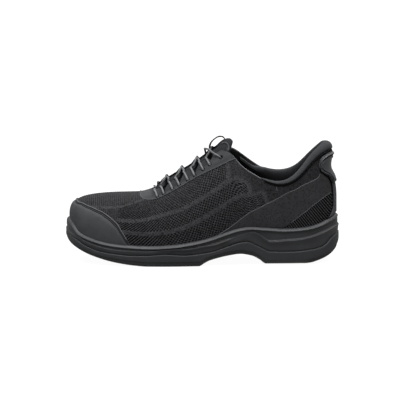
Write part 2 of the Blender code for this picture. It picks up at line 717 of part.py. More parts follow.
def build_collar_cuff():
    """Padded roll round the collar: it lines the inside of the upper and stands above the upper's edge."""
    half = np.linspace(ring_angle(CUFF[0][0]), math.pi, 18)
    theta = np.concatenate([half, FULL_TURN - half[-2::-1]])
    stand, pad, depth = (no_overshoot(CUFF, theta, of) * MM for of in (1, 2, 3))
    step = 0.004
    upward = upper_point(theta, 1.0) - upper_point(theta, 1.0 - step)
    speed = np.linalg.norm(upward, axis=-1) / step
    upward /= np.linalg.norm(upward, axis=-1, keepdims=True)
    outward = upper_out(theta, 1.0, 1.0) - upper_point(theta, 1.0)
    low = 1.0 - depth / speed
    half_way = 1.0 - 0.5 * depth / speed
    back = WALL + 2 * GAP
    edge = upper_point(theta, 1.0)

    def from_edge(out, up):
        return edge + outward * np.broadcast_to(out, theta.shape)[:, None] + upward * up[:, None]

    ring = [
        upper_out(theta, low, -back),
        upper_out(theta, half_way, -back),
        from_edge(-back, 0 * stand + 2 * GAP),
        from_edge(-0.4 * MM, 0 * stand + 2 * GAP),
        from_edge(0.5 * MM - 0.05 * pad, 0.45 * stand + GAP),
        from_edge(-0.25 * pad, 0.88 * stand + GAP),
        from_edge(-0.55 * pad - 0.3 * back, 1.0 * stand + GAP),
        from_edge(-0.85 * pad - 0.8 * back, 0.80 * stand + GAP),
        from_edge(-pad - back, 0.2 * stand - 0.1 * depth),
        upper_out(theta, half_way, -back - 0.9 * pad),
        upper_out(theta, low, -back - 0.25 * pad - 0.6 * MM),
    ]
    loft("collar_cuff", "collar_cuff", np.stack(ring, 1), capped=True)


# Overlays cut from the upper's own surface


def overlay(name, finish, theta, level, thickness, gap=OVERLAY_GAP):
    """A plate that lies on the upper over a grid of ring angles and levels."""
    outer = upper_out(theta, level, gap + thickness)
    inner = upper_out(theta, level, gap)
    return plate(name, finish, outer, inner)


def build_toe_guard():
    """Smooth guard over the toe, from the rim to a curved edge across the toe box."""
    reach = float(ring_angle(TOE_GUARD_EDGE[-1][0]))
    theta = np.linspace(-reach, reach, 23)
    low = np.full(theta.shape, 0.012)
    high = no_overshoot(TOE_GUARD_EDGE, theta)
    share = np.linspace(0, 1, 5)[:, None]
    level = low * (1 - share) + high * share
    overlay("toe_guard", "toe_guard", np.broadcast_to(theta, level.shape), level, TOE_GUARD_THICKNESS)


def hole_level(x):
    """Level on the upper of the row of lace holes, rising along the throat to the top eyelet."""
    first = FIRST_TAB_X - HOLE_HALF_GAP
    return np.interp(x, (first, EYELET_X), (FIRST_HOLE_LEVEL, EYELET_LEVEL))


def tab_columns():
    """Places along the throat and edge levels there: flat finger tabs with a sharp notch after each."""
    x, level = [], []
    for tab in FIRST_TAB_X + TAB_PITCH * np.arange(TAB_COUNT):
        notch = tab + TAB_PITCH / 2
        x += [tab - HOLE_HALF_GAP - 1.5 * MM, tab, tab + HOLE_HALF_GAP + 1.5 * MM, notch]
        level += [TAB_TOP, TAB_TOP, TAB_TOP, float(hole_level(notch)) + NOTCH_HEIGHT]
    x += [EYELET_X - 4.5 * MM, EYELET_X + 0.5 * MM, EYELET_X + 7.0 * MM]
    level += [TAB_TOP - 0.02, TAB_TOP - 0.02, TAB_TOP - 0.05]
    return np.array(x), np.array(level)


def build_eyestay():
    """Horseshoe band round the throat with a notched edge of finger tabs, cut by the eyelets."""
    x, edge = tab_columns()
    tab_angles = throat_angle(x, 1.0)
    foot = np.linspace(0.0, tab_angles[0], 7)[:-1]
    lateral = np.concatenate([foot, tab_angles])
    lateral_edge = np.concatenate([np.full(len(foot), 1.0), edge])
    theta = np.concatenate([-lateral[:0:-1], lateral])
    high = np.concatenate([lateral_edge[:0:-1], lateral_edge])
    low = no_overshoot(EYESTAY_EDGE, theta)
    middle = 0.45 * low + 0.55 * np.minimum(high, 0.97)
    level = np.stack([low, middle, high])
    theta = np.broadcast_to(theta, level.shape)
    eyestay = overlay("eyestay", "eyestay", theta, level, EYESTAY_THICKNESS, EYESTAY_GAP)
    cut(eyestay, bpy.data.objects["eyelet_pins"])


def build_counters():
    """Band on each side from the waist up to the back of the heel, with the bare window behind it."""
    span = np.linspace(ring_angle(COUNTER_BAND[0][0]), ring_angle(COUNTER_BAND[-1][0]), 16)
    low, high = (no_overshoot(COUNTER_BAND, span, of) for of in (1, 2))
    share = np.linspace(0, 1, 4)[:, None]
    level = low * (1 - share) + high * share
    for side, theta in (("lateral", span), ("medial", FULL_TURN - span)):
        overlay(f"counter_{side}", "counter", np.broadcast_to(theta, level.shape), level, COUNTER_THICKNESS)


def build_backstay():
    """Strip down the back seam, from under the heel tab to the sole."""
    level, half = np.array(BACKSTAY_STRIP).T
    share = np.linspace(-1, 1, 7)
    theta = math.pi + half[:, None] * share[None]
    overlay("backstay", "backstay", theta, np.broadcast_to(level[:, None], theta.shape), BACKSTAY_THICKNESS)


def build_heel_tab():
    """Smooth moulded tab round the back of the collar, its upper edge standing out as a lip."""
    reach = math.pi - float(ring_angle(HEEL_TAB_BAND[0][0]))
    theta = np.linspace(math.pi - reach, math.pi + reach, 15)
    low, high = (no_overshoot(HEEL_TAB_BAND, theta, of) for of in (1, 2))
    share = np.linspace(0, 1, 5)[:, None]
    level = low * (1 - share) + high * share
    thickness = HEEL_TAB_THICKNESS * (0.55 + 0.45 * share**2) * np.ones_like(level)
    overlay("heel_tab", "heel_tab", np.broadcast_to(theta, level.shape), level, thickness)


# Laces


def lace_side(x):
    """Points of a strand on the lateral side, from its hole up along its tab, and its ring angle."""
    clear = EYESTAY_GAP + EYESTAY_THICKNESS + GAP + LACE_DIAMETER / 2
    hole = float(hole_level(x))
    theta = float(throat_angle(x, hole))
    return theta, np.array([hole, 0.5 * hole + 0.5 * TAB_TOP, TAB_TOP + 0.01]), clear


def lace_points(lateral_x, medial_x, lift):
    """Path of one strand from a lateral hole, up its tab, over the tongue and down to a medial hole."""
    theta, levels, clear = lace_side(lateral_x)
    lateral = upper_out(theta, levels, clear)
    theta, levels, clear = lace_side(medial_x)
    medial = upper_out(FULL_TURN - theta, levels, clear)
    share = np.linspace(0, 1, 6)[1:-1, None]
    bridge = lateral[-1] * (1 - share) + medial[-1] * share
    bridge[:, 2] += lift * (4 * share * (1 - share))[:, 0]
    return np.concatenate([lateral, bridge, medial[::-1]])


def strand(name, points):
    """Round cord along a path, as a closed mesh."""
    line = bpy.data.curves.new(name, "CURVE")
    line.dimensions = "3D"
    line.bevel_depth = LACE_DIAMETER / 2
    line.bevel_resolution = 1
    line.use_fill_caps = True
    spline = line.splines.new("POLY")
    spline.points.add(len(points) - 1)
    for knot, place in zip(spline.points, points):
        knot.co = (*place, 1)
    rope = bpy.data.objects.new(name + "_line", line)
    cutters.objects.link(rope)
    bpy.context.view_layer.update()
    evaluated = rope.evaluated_get(bpy.context.evaluated_depsgraph_get())
    mesh = bpy.data.meshes.new_from_object(evaluated)
    shape = bmesh.new()
    shape.from_mesh(mesh)
    bmesh.ops.remove_doubles(shape, verts=shape.verts, dist=1e-6)
    bmesh.ops.recalc_face_normals(shape, faces=shape.faces)
    shape.to_mesh(mesh)
    shape.free()
    mesh.shade_smooth()
    mesh.materials.clear()
    mesh.materials.append(material("lace"))
    bpy.data.objects.remove(rope)
    piece = bpy.data.objects.new(name, mesh)
    piece.parent = shoe_origin
    return piece


def build_laces():
    """A straight bar at the foot of the throat, then crossings from tab to tab and to the eyelets."""
    tabs = FIRST_TAB_X + TAB_PITCH * np.arange(TAB_COUNT)
    first_hole = tabs[0] - HOLE_HALF_GAP
    shoe_parts.objects.link(strand("lace_bar", lace_points(first_hole, first_hole, LACE_LIFT)))
    leaving = tabs + HOLE_HALF_GAP
    arriving = np.append(tabs[1:] - HOLE_HALF_GAP, EYELET_X)
    for number, (low, high) in enumerate(zip(leaving, arriving), 1):
        lift = LAST_LACE_LIFT if number == TAB_COUNT else LACE_LIFT
        rising = strand(f"lace_cross_{number}", lace_points(low, high, lift))
        shoe_parts.objects.link(rising)
        other = strand(f"lace_cross_{number}_other", lace_points(high, low, lift))
        cutters.objects.link(other)
        other.hide_render = True
        other.display_type = "WIRE"
        join = rising.modifiers.new("join", "BOOLEAN")
        join.operation = "UNION"
        join.solver = "EXACT"
        join.object = other


def main():
    build_outsole()
    build_midsole()
    build_insole()
    build_upper()
    build_collar_cuff()
    build_tongue()
    build_tongue_loop()
    build_toe_guard()
    build_eyestay()
    build_counters()
    build_backstay()
    build_heel_tab()
    build_laces()


for old in list(bpy.data.objects):
    bpy.data.objects.remove(old)
shoe_parts = bpy.data.collections.new("safety_trainer")
cutters = bpy.data.collections.new("cutters")
bpy.context.scene.collection.children.link(shoe_parts)
bpy.context.scene.collection.children.link(cutters)
shoe_origin = bpy.data.objects.new("shoe_origin", None)
shoe_parts.objects.link(shoe_origin)
main()
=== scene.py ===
"""Looks of a low-cut knit safety trainer for the left foot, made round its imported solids.

Frame as in the solids: metres, toe towards -X, lateral side towards -Y, floor at z = 0. The shoe's
surfaces are functions of a ring angle (0 at the toe tip, pi at the heel, lateral side first) and of a
level on the upper (-1 its foot in the sole, 0 the sole's rim, 1 its top edge).
"""

import math

import bmesh
import bpy
import numpy as np
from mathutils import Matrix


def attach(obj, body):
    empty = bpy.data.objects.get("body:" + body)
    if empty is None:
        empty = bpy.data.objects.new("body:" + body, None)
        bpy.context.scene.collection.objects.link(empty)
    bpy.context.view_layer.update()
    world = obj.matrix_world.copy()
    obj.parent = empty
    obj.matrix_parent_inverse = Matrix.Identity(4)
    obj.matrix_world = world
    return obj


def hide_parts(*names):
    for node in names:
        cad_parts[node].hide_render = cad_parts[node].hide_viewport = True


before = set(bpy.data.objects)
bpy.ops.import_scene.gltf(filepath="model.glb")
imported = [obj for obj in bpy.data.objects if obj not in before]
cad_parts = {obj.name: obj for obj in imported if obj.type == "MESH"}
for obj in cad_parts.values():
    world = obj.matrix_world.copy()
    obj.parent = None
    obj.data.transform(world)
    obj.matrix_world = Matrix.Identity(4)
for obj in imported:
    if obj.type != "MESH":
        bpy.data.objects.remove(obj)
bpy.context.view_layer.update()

MM = 0.001
FULL_TURN = 2 * math.pi
TINY_ANGLE = 1e-4
LEVEL_STEP = 0.004
MERGE_DISTANCE = 2e-6
SIDES = ("lateral", "medial")

# Sizes, from the solids except where the photograph asks for a closer fit
LENGTH = 300 * MM
GAP = 0.35 * MM
WALL = 2.4 * MM
TOE_SWING = 10.5 * MM
HEEL_SHIFT = 2.0 * MM
MEDIAL_LIFT = 4.0 * MM
OUTWARD_LEAN = 0.06
INWARD_PULL = 4.0 * MM
THROAT_SPAN = (0.13, 0.632)
MIDDLE_CROWDING = 0.15
RIM_WIDTH = 3.6 * MM
BEAD_HEIGHT = 3.2 * MM
FLUTE_DEPTH = 2.2 * MM
TREAD_STEP = 5.0 * MM
SOLE_FLOOR = 4.0 * MM
GROOVE_WIDTH = 3.0 * MM
GROOVE_DEPTH = 2.0 * MM
GROOVE_DRAFT = 0.3 * MM
FORE_GROOVES = (-92, -70, -48, -26)
FORE_GROOVE_LENGTH = 80 * MM
HEEL_GROOVES = (84, 98, 112)
HEEL_GROOVE_LENGTH = 44 * MM
INSOLE_THICKNESS = 5.0 * MM
LACE_DIAMETER = 2.4 * MM
LOOP_WIDTH = 7.0 * MM
LOOP_THICKNESS = 1.0 * MM
FIRST_TAB_X = -45.5 * MM
TAB_PITCH = 16.8 * MM
TAB_COUNT = 4
HOLE_HALF_GAP = 3.7 * MM
HOLE_RADIUS = 1.9 * MM
EYELET_WIDER = 1.25
PIT_DEPTH = 2.6 * MM
EYELET_X = 20.5 * MM
EYELET_LEVEL = 0.945
FIRST_HOLE_LEVEL = 0.775
TAB_TOP = 1.055
TAB_LEAN = 3.4 * MM
TAB_HALF_WIDTH = 4.5 * MM
NOTCH_LEVELS = (0.80, 0.87, 0.905, 0.985)

# Laces over the tongue: lift of the bar, lifts of the crossings in mm, step of one strand over another;
# points of the top crossing's strands: share across, share along, lift in mm; spacing of the braid in mm
BAR_LIFT = 7.6 * MM
CROSS_LIFTS = (5.2, 4.0, 5.0)
CROSS_STEP = 2.0 * MM
TOP_UNDER = ((0.12, 0.23, 3.4), (0.3, 0.42, 4.4), (0.5, 0.6, 3.4), (0.75, 0.8, 1.4))
TOP_OVER = (
    (0.1, 0.38, 2.8), (0.25, 0.75, 6.4), (0.42, 1.02, 7.4), (0.6, 1.12, 7.4), (0.8, 1.1, 6.4),
    (0.93, 1.04, 3.0),
)
BRAID_STEP = 0.4
BRAID_PITCH = 3.2

# Plan outline of the sole: share of the length from the toe, lateral and medial edge from the axis in mm
OUTLINE = (
    (0.03, 20.5, 36.0), (0.08, 36.0, 45.7), (0.16, 46.8, 51.8), (0.26, 52.5, 54.4), (0.36, 54.4, 52.0),
    (0.48, 51.0, 44.2), (0.60, 44.8, 38.2), (0.72, 40.2, 37.6), (0.82, 38.6, 39.3), (0.91, 33.2, 36.0),
    (0.97, 20.2, 23.8),
)

# Lines along the side of the sole: share of the length from the toe, height above the floor in mm, or
# distance in or out for the lines so named; breaks are shares at which a line has a corner
SOLE_LINES = {
    "bottom": (
        (0.0, 23.2), (0.024, 17.5), (0.068, 12.1), (0.112, 8.2), (0.156, 5.0), (0.20, 2.7),
        (0.25, 0.9), (0.30, 0.0), (0.490, 0.0), (0.510, 3.2), (0.53, 6.1), (0.60, 10.7),
        (0.64, 11.9), (0.685, 9.4), (0.71, 5.4), (0.735, 0.0), (0.875, 0.0), (0.91, 1.9),
        (0.945, 4.8), (0.972, 8.3), (0.991, 13.0), (1.0, 19.5),
    ),
    "tread_in": (
        (0.0, 4.6), (0.50, 4.6), (0.70, 12.0), (0.74, 16.0), (0.865, 16.0), (0.91, 6.0), (1.0, 4.6),
    ),
    "split": (
        (0.0, 33.5), (0.034, 27.3), (0.07, 21.3), (0.125, 16.0), (0.20, 13.3), (0.235, 12.6),
        (0.30, 12.8), (0.363, 14.2), (0.436, 13.0), (0.51, 15.0), (0.546, 17.1), (0.583, 20.9),
        (0.638, 25.7), (0.664, 26.6), (0.697, 22.6), (0.72, 19.2), (0.747, 15.6), (0.803, 15.2),
        (0.832, 15.3), (0.893, 16.8), (0.931, 18.6), (0.955, 22.0), (0.973, 27.4), (1.0, 34.0),
    ),
    "rib": (
        (0.0, 38.0), (0.034, 31.0), (0.07, 25.2), (0.125, 20.4), (0.20, 17.2), (0.30, 16.4),
        (0.36, 18.4), (0.40, 19.2), (0.436, 19.2), (0.51, 22.4), (0.546, 23.9), (0.572, 26.3),
        (0.616, 30.3), (0.664, 35.0), (0.689, 36.6), (0.72, 30.8), (0.747, 26.0), (0.775, 25.9),
        (0.803, 26.8), (0.832, 27.2), (0.858, 27.9), (0.893, 29.9), (0.938, 34.0), (0.987, 39.4),
        (1.0, 40.6),
    ),
    "rib_out": (
        (0.0, -0.9), (0.30, -0.9), (0.37, -0.4), (0.42, 0.0), (0.57, 0.0), (0.62, -1.7),
        (0.665, -1.7), (0.70, 0.0), (1.0, 0.3),
    ),
    "rim": (
        (0.0, 47.0), (0.013, 43.4), (0.044, 33.9), (0.088, 29.2), (0.143, 25.4), (0.216, 23.0),
        (0.308, 22.0), (0.40, 23.4), (0.455, 25.7), (0.491, 27.6), (0.546, 32.0), (0.565, 34.0),
        (0.638, 40.6), (0.675, 41.9), (0.73, 40.8), (0.803, 39.4), (0.876, 40.6), (0.931, 43.9),
        (0.968, 48.2), (1.0, 52.2),
    ),
    "rim_in": (
        (0.0, 1.0), (0.02, 0.8), (0.06, 0.4), (0.13, 0.1), (0.25, 0.0), (0.95, 0.0), (1.0, 0.9),
    ),
    "bed": (
        (0.0, 31.0), (0.05, 28.5), (0.10, 24.6), (0.20, 20.0), (0.30, 18.0), (0.40, 18.6),
        (0.50, 21.5), (0.60, 26.0), (0.70, 29.6), (0.80, 31.2), (0.90, 32.0), (1.0, 32.4),
    ),
}
SOLE_BREAKS = (0.490, 0.510, 0.664, 0.735, 0.747)

# Sections of the last, toe to heel. along: foot of the section on the rim; top_x, spread, top_z: its
# top edge at the throat or collar in mm (spread is the half gap); lift: share of the medial side's
# extra height; rise, reach: lengths in mm of the curve's pull at its foot and at its edge; slope: angle
# of the wall at the edge, over 90 flares out
LAST_COLUMNS = ("along", "top_x", "spread", "top_z", "lift", "rise", "reach", "slope")
LAST = (
    (0.000, -58.5, 0.0, 75.3, 0.0, 28, 66, 1.5),
    (0.050, -58.0, 5.5, 75.1, 0.0, 28, 62, 1.5),
    (0.120, -56.0, 10.0, 75.5, 0.0, 28.4, 50.4, 6.3),
    (0.200, -51.5, 12.4, 77.6, 0.0, 27, 38, 15),
    (0.300, -37.5, 13.6, 84.0, 0.0, 26, 32, 22),
    (0.400, -19.0, 14.2, 95.2, 0.0, 26, 31, 27),
    (0.500, 2.0, 15.0, 108.2, 0.0, 26, 32, 31),
    (0.580, 20.5, 16.8, 119.4, 0.0, 26, 33, 38),
    (0.632, 31.0, 20.0, 120.2, 0.50, 25, 33, 48),
    (0.675, 42.0, 26.0, 108.6, 1.55, 23, 31, 60),
    (0.725, 57.5, 31.8, 98.2, 1.15, 20, 26, 70),
    (0.775, 74.0, 35.0, 89.6, 1.07, 17, 20, 78),
    (0.825, 90.0, 35.8, 87.6, 1.0, 16, 17, 83),
    (0.875, 105.0, 33.2, 94.4, 0.4, 18, 19, 85),
    (0.925, 119.5, 27.4, 109.6, -0.2, 21, 24, 86),
    (0.970, 134.0, 19.0, 120.8, -0.1, 24, 28, 92),
    (1.000, 142.0, 0.0, 121.8, 0.0, 25, 30, 99),
)

# Collar roll: share of the length, height above the upper's edge (below it at the front, where the
# pad lies inside the wall), padding and depth inside in mm
CUFF = (
    (0.660, -7.0, 5.0, 20), (0.700, -6.4, 8.0, 24), (0.742, 0.4, 9.0, 22), (0.765, 3.0, 9.0, 20),
    (0.830, 5.2, 9.0, 20), (0.900, 7.4, 9.0, 23), (0.950, 8.0, 9.5, 26), (1.000, 8.2, 10.0, 28),
)
COLLAR_PER_SPAN = 5

# Shares of the length where the collar's front piping runs, its tack stands and its seam begins, and
# the tack's levels
COLLAR_PIPED = (0.634, 0.75)
COLLAR_TACK = 0.796
TACK_LEVELS = (0.86, 0.975)
COLLAR_SEAM_START = 0.755

# Edges on the upper: share of the length on the rim, level (lower and upper level for a band)
TOE_GUARD_EDGE = (
    (0.0, 0.335), (0.0084, 0.345), (0.0233, 0.402), (0.0524, 0.445), (0.0922, 0.436),
    (0.1345, 0.388), (0.1751, 0.298), (0.2001, 0.193), (0.2242, 0.074), (0.236, 0.015),
)
COUNTER_TOP = (
    (0.560, 0.012), (0.5716, 0.022), (0.6032, 0.058), (0.6395, 0.130), (0.6751, 0.247),
    (0.7169, 0.403), (0.7593, 0.583), (0.8013, 0.744), (0.8403, 0.838), (0.8775, 0.832),
    (0.9134, 0.768), (0.935, 0.734), (0.945, 0.734), (0.951, 0.770), (0.957, 0.750), (0.967, 0.684),
    (0.977, 0.640), (0.988, 0.540),
)
COUNTER_LOW = (
    (0.560, 0.006), (0.722, 0.010), (0.790, 0.020), (0.836, 0.190), (0.875, 0.305),
    (0.916, 0.367), (0.947, 0.382), (0.976, 0.386), (0.988, 0.390),
)
HEEL_TAB_BAND = (
    (0.950, 0.868, 0.896), (0.9535, 0.805, 0.940), (0.960, 0.765, 0.960), (0.9686, 0.712, 0.970),
    (0.9772, 0.672, 0.976), (0.983, 0.630, 0.980), (0.9895, 0.555, 0.983), (1.0, 0.515, 0.985),
)
EYESTAY_EDGE = (
    (0.0, 0.945), (0.0422, 0.938), (0.10, 0.905), (0.1611, 0.854), (0.2088, 0.790), (0.24, 0.757),
    (0.2775, 0.738), (0.3291, 0.768), (0.3648, 0.790), (0.4038, 0.807), (0.4408, 0.826),
    (0.4755, 0.838), (0.5237, 0.836), (0.5557, 0.834), (0.5901, 0.842), (0.6292, 0.901),
    (0.6447, 0.955), (0.656, 0.985),
)
STRIPE_A = (
    (0.16, 0.362), (0.256, 0.385), (0.332, 0.435), (0.412, 0.460), (0.489, 0.518), (0.566, 0.580),
    (0.608, 0.625), (0.642, 0.699), (0.70, 0.80),
)
STRIPE_B = (
    (0.18, 0.190), (0.287, 0.180), (0.362, 0.189), (0.436, 0.222), (0.510, 0.294), (0.585, 0.356),
    (0.622, 0.413), (0.663, 0.511), (0.707, 0.648), (0.76, 0.80),
)
TOE_BAND = (
    (0.0, 0.32), (0.0225, 0.374), (0.041, 0.435), (0.079, 0.507), (0.120, 0.565), (0.155, 0.652),
    (0.175, 0.731), (0.21, 0.82), (0.26, 0.95),
)

# Backstay: level on the upper, half width in ring angle
BACKSTAY_STRIP = (
    (0.014, 0.40), (0.05, 0.345), (0.10, 0.28), (0.17, 0.225), (0.32, 0.185), (0.54, 0.170),
    (0.61, 0.160),
)

# Lines across the eyestay: ring angle at the top edge, turn back for each level below it
THROAT_LEAN = ((0, 0), (0.45, 0.35), (0.93, 0.60), (1.12, 0.38), (1.32, 0.16), (1.50, 0.0))

# Tongue, from the foot of the throat upwards: share of the length, bulge between the eyestays and
# thickness in mm; then its free top: steps back and up in mm, width share, thickness in mm; notches are
# the places in mm where its face is painted dark between the tabs, a painted shade under the crossing
# laces; seam and loop are side views in mm
TONGUE = (
    (0.150, 0.6, 3.0), (0.200, 4.0, 3.5), (0.225, 10.0, 4.0), (0.260, 10.9, 4.0), (0.330, 12.4, 4.5),
    (0.410, 11.7, 5.0), (0.490, 13.0, 6.0), (0.515, 15.2, 7.0), (0.545, 14.8, 8.5), (0.565, 16.4, 10.5),
    (0.585, 16.9, 12.5),
)
TONGUE_TOP = ((4.0, 1.2, 0.66, 13.0), (7.6, 0.9, 0.64, 11.0), (10.4, -2.4, 0.58, 6.5))
TONGUE_TUCK = (-9.0, -3.2)
TONGUE_PER_ROW = 8
TONGUE_PER_PLACE = 6
TONGUE_BINDING_RADIUS = 1.3 * MM
TONGUE_SEAM_RADIUS = 1.1 * MM
TONGUE_SIDE_LEVELS = (0.80, 0.90, 0.98)
TONGUE_ACROSS = (0.14, 0.32, 0.5, 0.68, 0.86)
TONGUE_NOTCHES = (-38.6, -21.8, -5.2, 8.6)
TONGUE_SEAM = ((21.5, 129.6), (24.0, 130.6), (26.6, 130.0), (28.4, 127.8), (28.8, 125.0), (28.0, 122.4))
LOOP_PATH = (
    (11.0, 121.0), (9.5, 123.2), (9.2, 126.4), (10.6, 130.2), (13.6, 133.6),
    (17.6, 136.0), (21.3, 136.2), (23.6, 134.6), (24.4, 132.0),
)

# Knit, in mm: holes of the open mesh along and across the stripes, ribs, stripes' half width, relief;
# heights of the holes' wave at their rim and floor, raised by place along the shoe; painted shade in the
# ribs' troughs and darker tone of the plain knit; where mesh, ribs and plain knit begin and end. The
# open mesh is drawn a little coarser than the real one, so that it shows at the photograph's size
HOLE_PITCH = 3.7
ROW_PITCH = 1.8
RIB_PITCH = 2.3
STRIPE_HALF = 2.3
HOLE_DEPTH = 0.75 * MM
RIB_DEPTH = 0.35 * MM
HOLE_EDGE = (0.44, 0.70)
HOLE_CLOSING = ((-80, -0.03), (-30, 0.0), (60, 0.05))
DASH_SHARE = 0.14
DASH_ENDS_X = (-75, -35)
RIB_SHADE = 0.82
DENSE_SHADE = 0.4
KNIT_STATIONS = 500
KNIT_ROWS = 160
WALL_HEIGHT = 85.0
MESH_ENDS = (0.597, 0.684, 0.739)
MESH_STARTS_X = -92.0
RIBBED_BEFORE = 0.3
DENSE_AFTER = 0.4
WINDOW_RIB_PITCH = 2.4
WINDOW_RIB_DEPTH = 0.7 * MM
WINDOW_SLANT = (0.796, 0.605)
WINDOW_START = 0.785
WINDOW_END_ANGLE = math.pi - 0.15
WINDOW_FOOT = 0.004

# Patterns of the finishes, in mm; loops, cells, pores and grit are drawn coarser than the real ones, so
# that they show at the photograph's size
YARN_LOOP = 1.6
LINING_CELL = 1.8
TRICOT_LOOP = 1.3
PORE_SPACING = 2.2
PEBBLE = 0.9
MOULD_GRIT = 0.5
COATING_GRIT = 0.6
GLOSS_PATCH = 30.0
MOTTLE_SPREAD = 0.35
DEEP_SHADE = "#060607"

# Overlays: how far they stand out, and where the counters' piping and the eyestay's tabs begin and end;
# how far edges sink in, their radius, rows underneath; places in mm of the guard's channels below its
# edge; stitches; thin cords and their radii in mm
COUNTER_LIFT = 0.9 * MM
COUNTER_OFF_SOLE = 0.822
COUNTER_MEETS_TAB = 0.951
EYESTAY_LIFT = 1.5 * MM
EYESTAY_TOE_LIFT = 0.5 * MM
EYESTAY_RISES_X = (-66 * MM, -52 * MM)
EYESTAY_THIN_SHARE = 0.4
EYESTAY_RUN_ROW = 12
EYESTAY_PIPED_ROW = 3
TABS_SHADE = 0.45
TABS_FROM_X = (-58 * MM, -53 * MM)
TABS_TO_X = EYELET_X - 11 * MM
GUARD_LIFT = 1.2 * MM
BACKSTAY_LIFT = 1.8 * MM
HEEL_TAB_LIFT = 1.92 * MM
SUNK = 0.35 * MM
EDGE_ROUND = 0.9 * MM
UNDER_ROWS = 4
GUARD_CHANNELS = (2.0, 4.2)
CHANNEL_WIDTH = 0.55
STITCH_LENGTH = 2.3 * MM
STITCH_PITCH = 3.0 * MM
STITCH_RADIUS = 0.36 * MM
CORD_STEP = 0.8 * MM
CORD_SIDES = 10
# The back, heel tab and collar seam cords and the heel tab's groove cords are near black: painted shade
# in those gaps.
CORD_RADII = {
    "guard_piping": 0.65, "eyestay_piping": 0.5, "counter_piping": 0.36, "back_seam_gap_shade": 0.55,
    "heel_tab_groove_shade": 0.45, "heel_tab_piping": 0.7, "heel_tab_seam_gap_shade": 0.6, "collar_piping": 0.8,
    "collar_tack": 0.4, "collar_seam_gap_shade": 0.6,
}

# Camera of the photograph: elevation, distance, width of view at the shoe and aim from the origin
CAMERA_ELEVATION = math.radians(8)
CAMERA_DISTANCE = 8.0
VIEW_WIDTH = 0.440
AIM_RIGHT = -2.585 * MM
AIM_UP = 66.1 * MM
SENSOR_WIDTH = 36

# Studio: half side of the floor in metres, strength of the white surroundings, and for each light its
# name, strength, and spread, tilt and turn in degrees
FLOOR_HALF = 20.0
SURROUND_STRENGTH = 0.36
LIGHTS = (("overhead_softbox", 4.85, 70, 12, -8), ("back_softbox", 1.0, 70, 40, 175))


# Lines and curves


def ring_angle(along):
    """Lateral ring angle at a share of the length from the toe: the inverse of share_along."""
    return np.arccos(1 - 2 * np.asarray(along, float))


def share_along(theta):
    """Share of the length from the toe at a ring angle: half of one minus its cosine."""
    return (1 - np.cos(theta)) / 2


def on_side(side, theta):
    """Ring angle on the named side: the medial one runs back from a full turn."""
    return theta if side == "lateral" else FULL_TURN - theta


def folded(theta):
    """The lateral ring angle at the same share of the length."""
    theta = np.asarray(theta, float) % FULL_TURN
    return np.minimum(theta, FULL_TURN - theta)


def cubic(start, stop, leaving, arriving, t):
    """Cubic from start to stop at shares t of the way, with the given slopes at its two ends."""
    return (
        start * (1 + 2 * t) * (1 - t) ** 2
        + leaving * t * (1 - t) ** 2
        + stop * t**2 * (3 - 2 * t)
        + arriving * t**2 * (t - 1)
    )


def hermite(knots, values, slopes, at):
    """Cubics from knot to knot with the given slopes."""
    at = np.asarray(at, float)
    i = np.clip(np.searchsorted(knots, at, side="right") - 1, 0, len(knots) - 2)
    step = knots[i + 1] - knots[i]
    t = (at - knots[i]) / step
    return cubic(values[i], values[i + 1], slopes[i] * step, slopes[i + 1] * step, t)


def tight_slopes(chords):
    """Slopes at inner knots: the harmonic mean of the chords beside each, or 0 at a turn."""
    same_way = chords[:-1] * chords[1:] > 0
    safe = np.where(same_way, chords[:-1] + chords[1:], 1.0)
    return np.where(same_way, 2 * chords[:-1] * chords[1:] / safe, 0.0)


def no_overshoot(rows, at, of=1):
    """Smooth line over the ring angle through (along, value) rows, flat at its ends, no overshoot."""
    knots = ring_angle([row[0] for row in rows])
    values = np.array([row[of] for row in rows], float)
    slopes = np.zeros(len(rows))
    slopes[1:-1] = tight_slopes(np.diff(values) / np.diff(knots))
    return hermite(knots, values, slopes, np.clip(folded(at), knots[0], knots[-1]))


def closed_spline(knots, values, at):
    """Smooth closed curve over the full ring: cubics from knot to knot with no break in bend."""
    count = len(knots)
    here = np.arange(count)
    after = np.roll(here, -1)
    before = np.roll(here, 1)
    ahead = (knots[after] - knots) % FULL_TURN
    behind = ahead[before]
    matrix = np.zeros((count, count))
    matrix[here, before] += 1 / behind
    matrix[here, here] += 2 / behind + 2 / ahead
    matrix[here, after] += 1 / ahead
    chord = 3 * ((values - values[before]) / behind**2 + (values[after] - values) / ahead**2)
    slopes = np.linalg.solve(matrix, chord)
    first = knots[0]
    return hermite(
        np.append(knots, first + FULL_TURN),
        np.append(values, values[0]),
        np.append(slopes, slopes[0]),
        first + (np.asarray(at, float) - first) % FULL_TURN,
    )


def smooth(values, per_span, closed=False, tight=False):
    """Cubic line through values along their first axis, per_span points to a span.

    Slopes are half the step from the value before to the value after; tight ones never overshoot.
    """
    if closed:
        values = np.concatenate([values, values[:1]])
        slopes = (np.roll(values[:-1], -1, 0) - np.roll(values[:-1], 1, 0)) / 2
        slopes = np.concatenate([slopes, slopes[:1]])
    elif tight:
        slopes = np.zeros(values.shape)
        slopes[1:-1] = tight_slopes(np.diff(values, axis=0))
    else:
        slopes = np.gradient(values, axis=0)
    spans = len(values) - 1
    at = np.arange(spans * per_span + (0 if closed else 1)) / per_span
    i = np.minimum(at.astype(int), spans - 1)
    t = (at - i).reshape((-1,) + (1,) * (values.ndim - 1))
    return cubic(values[i], values[i + 1], slopes[i], slopes[i + 1], t)


def ramp(value, low, high):
    """0 below low, 1 above high, an S curve between."""
    t = np.clip((value - low) / (high - low), 0, 1)
    return t * t * (3 - 2 * t)


def soft_min(first, second, radius):
    """The smaller of two distances, with a rounded corner where they meet."""
    return -radius * np.logaddexp(-first / radius, -second / radius)


def bell(value, centre, width):
    """1 at the centre, falling off on both sides: e to the minus square of the distance in widths."""
    return np.exp(-(((value - centre) / width) ** 2))


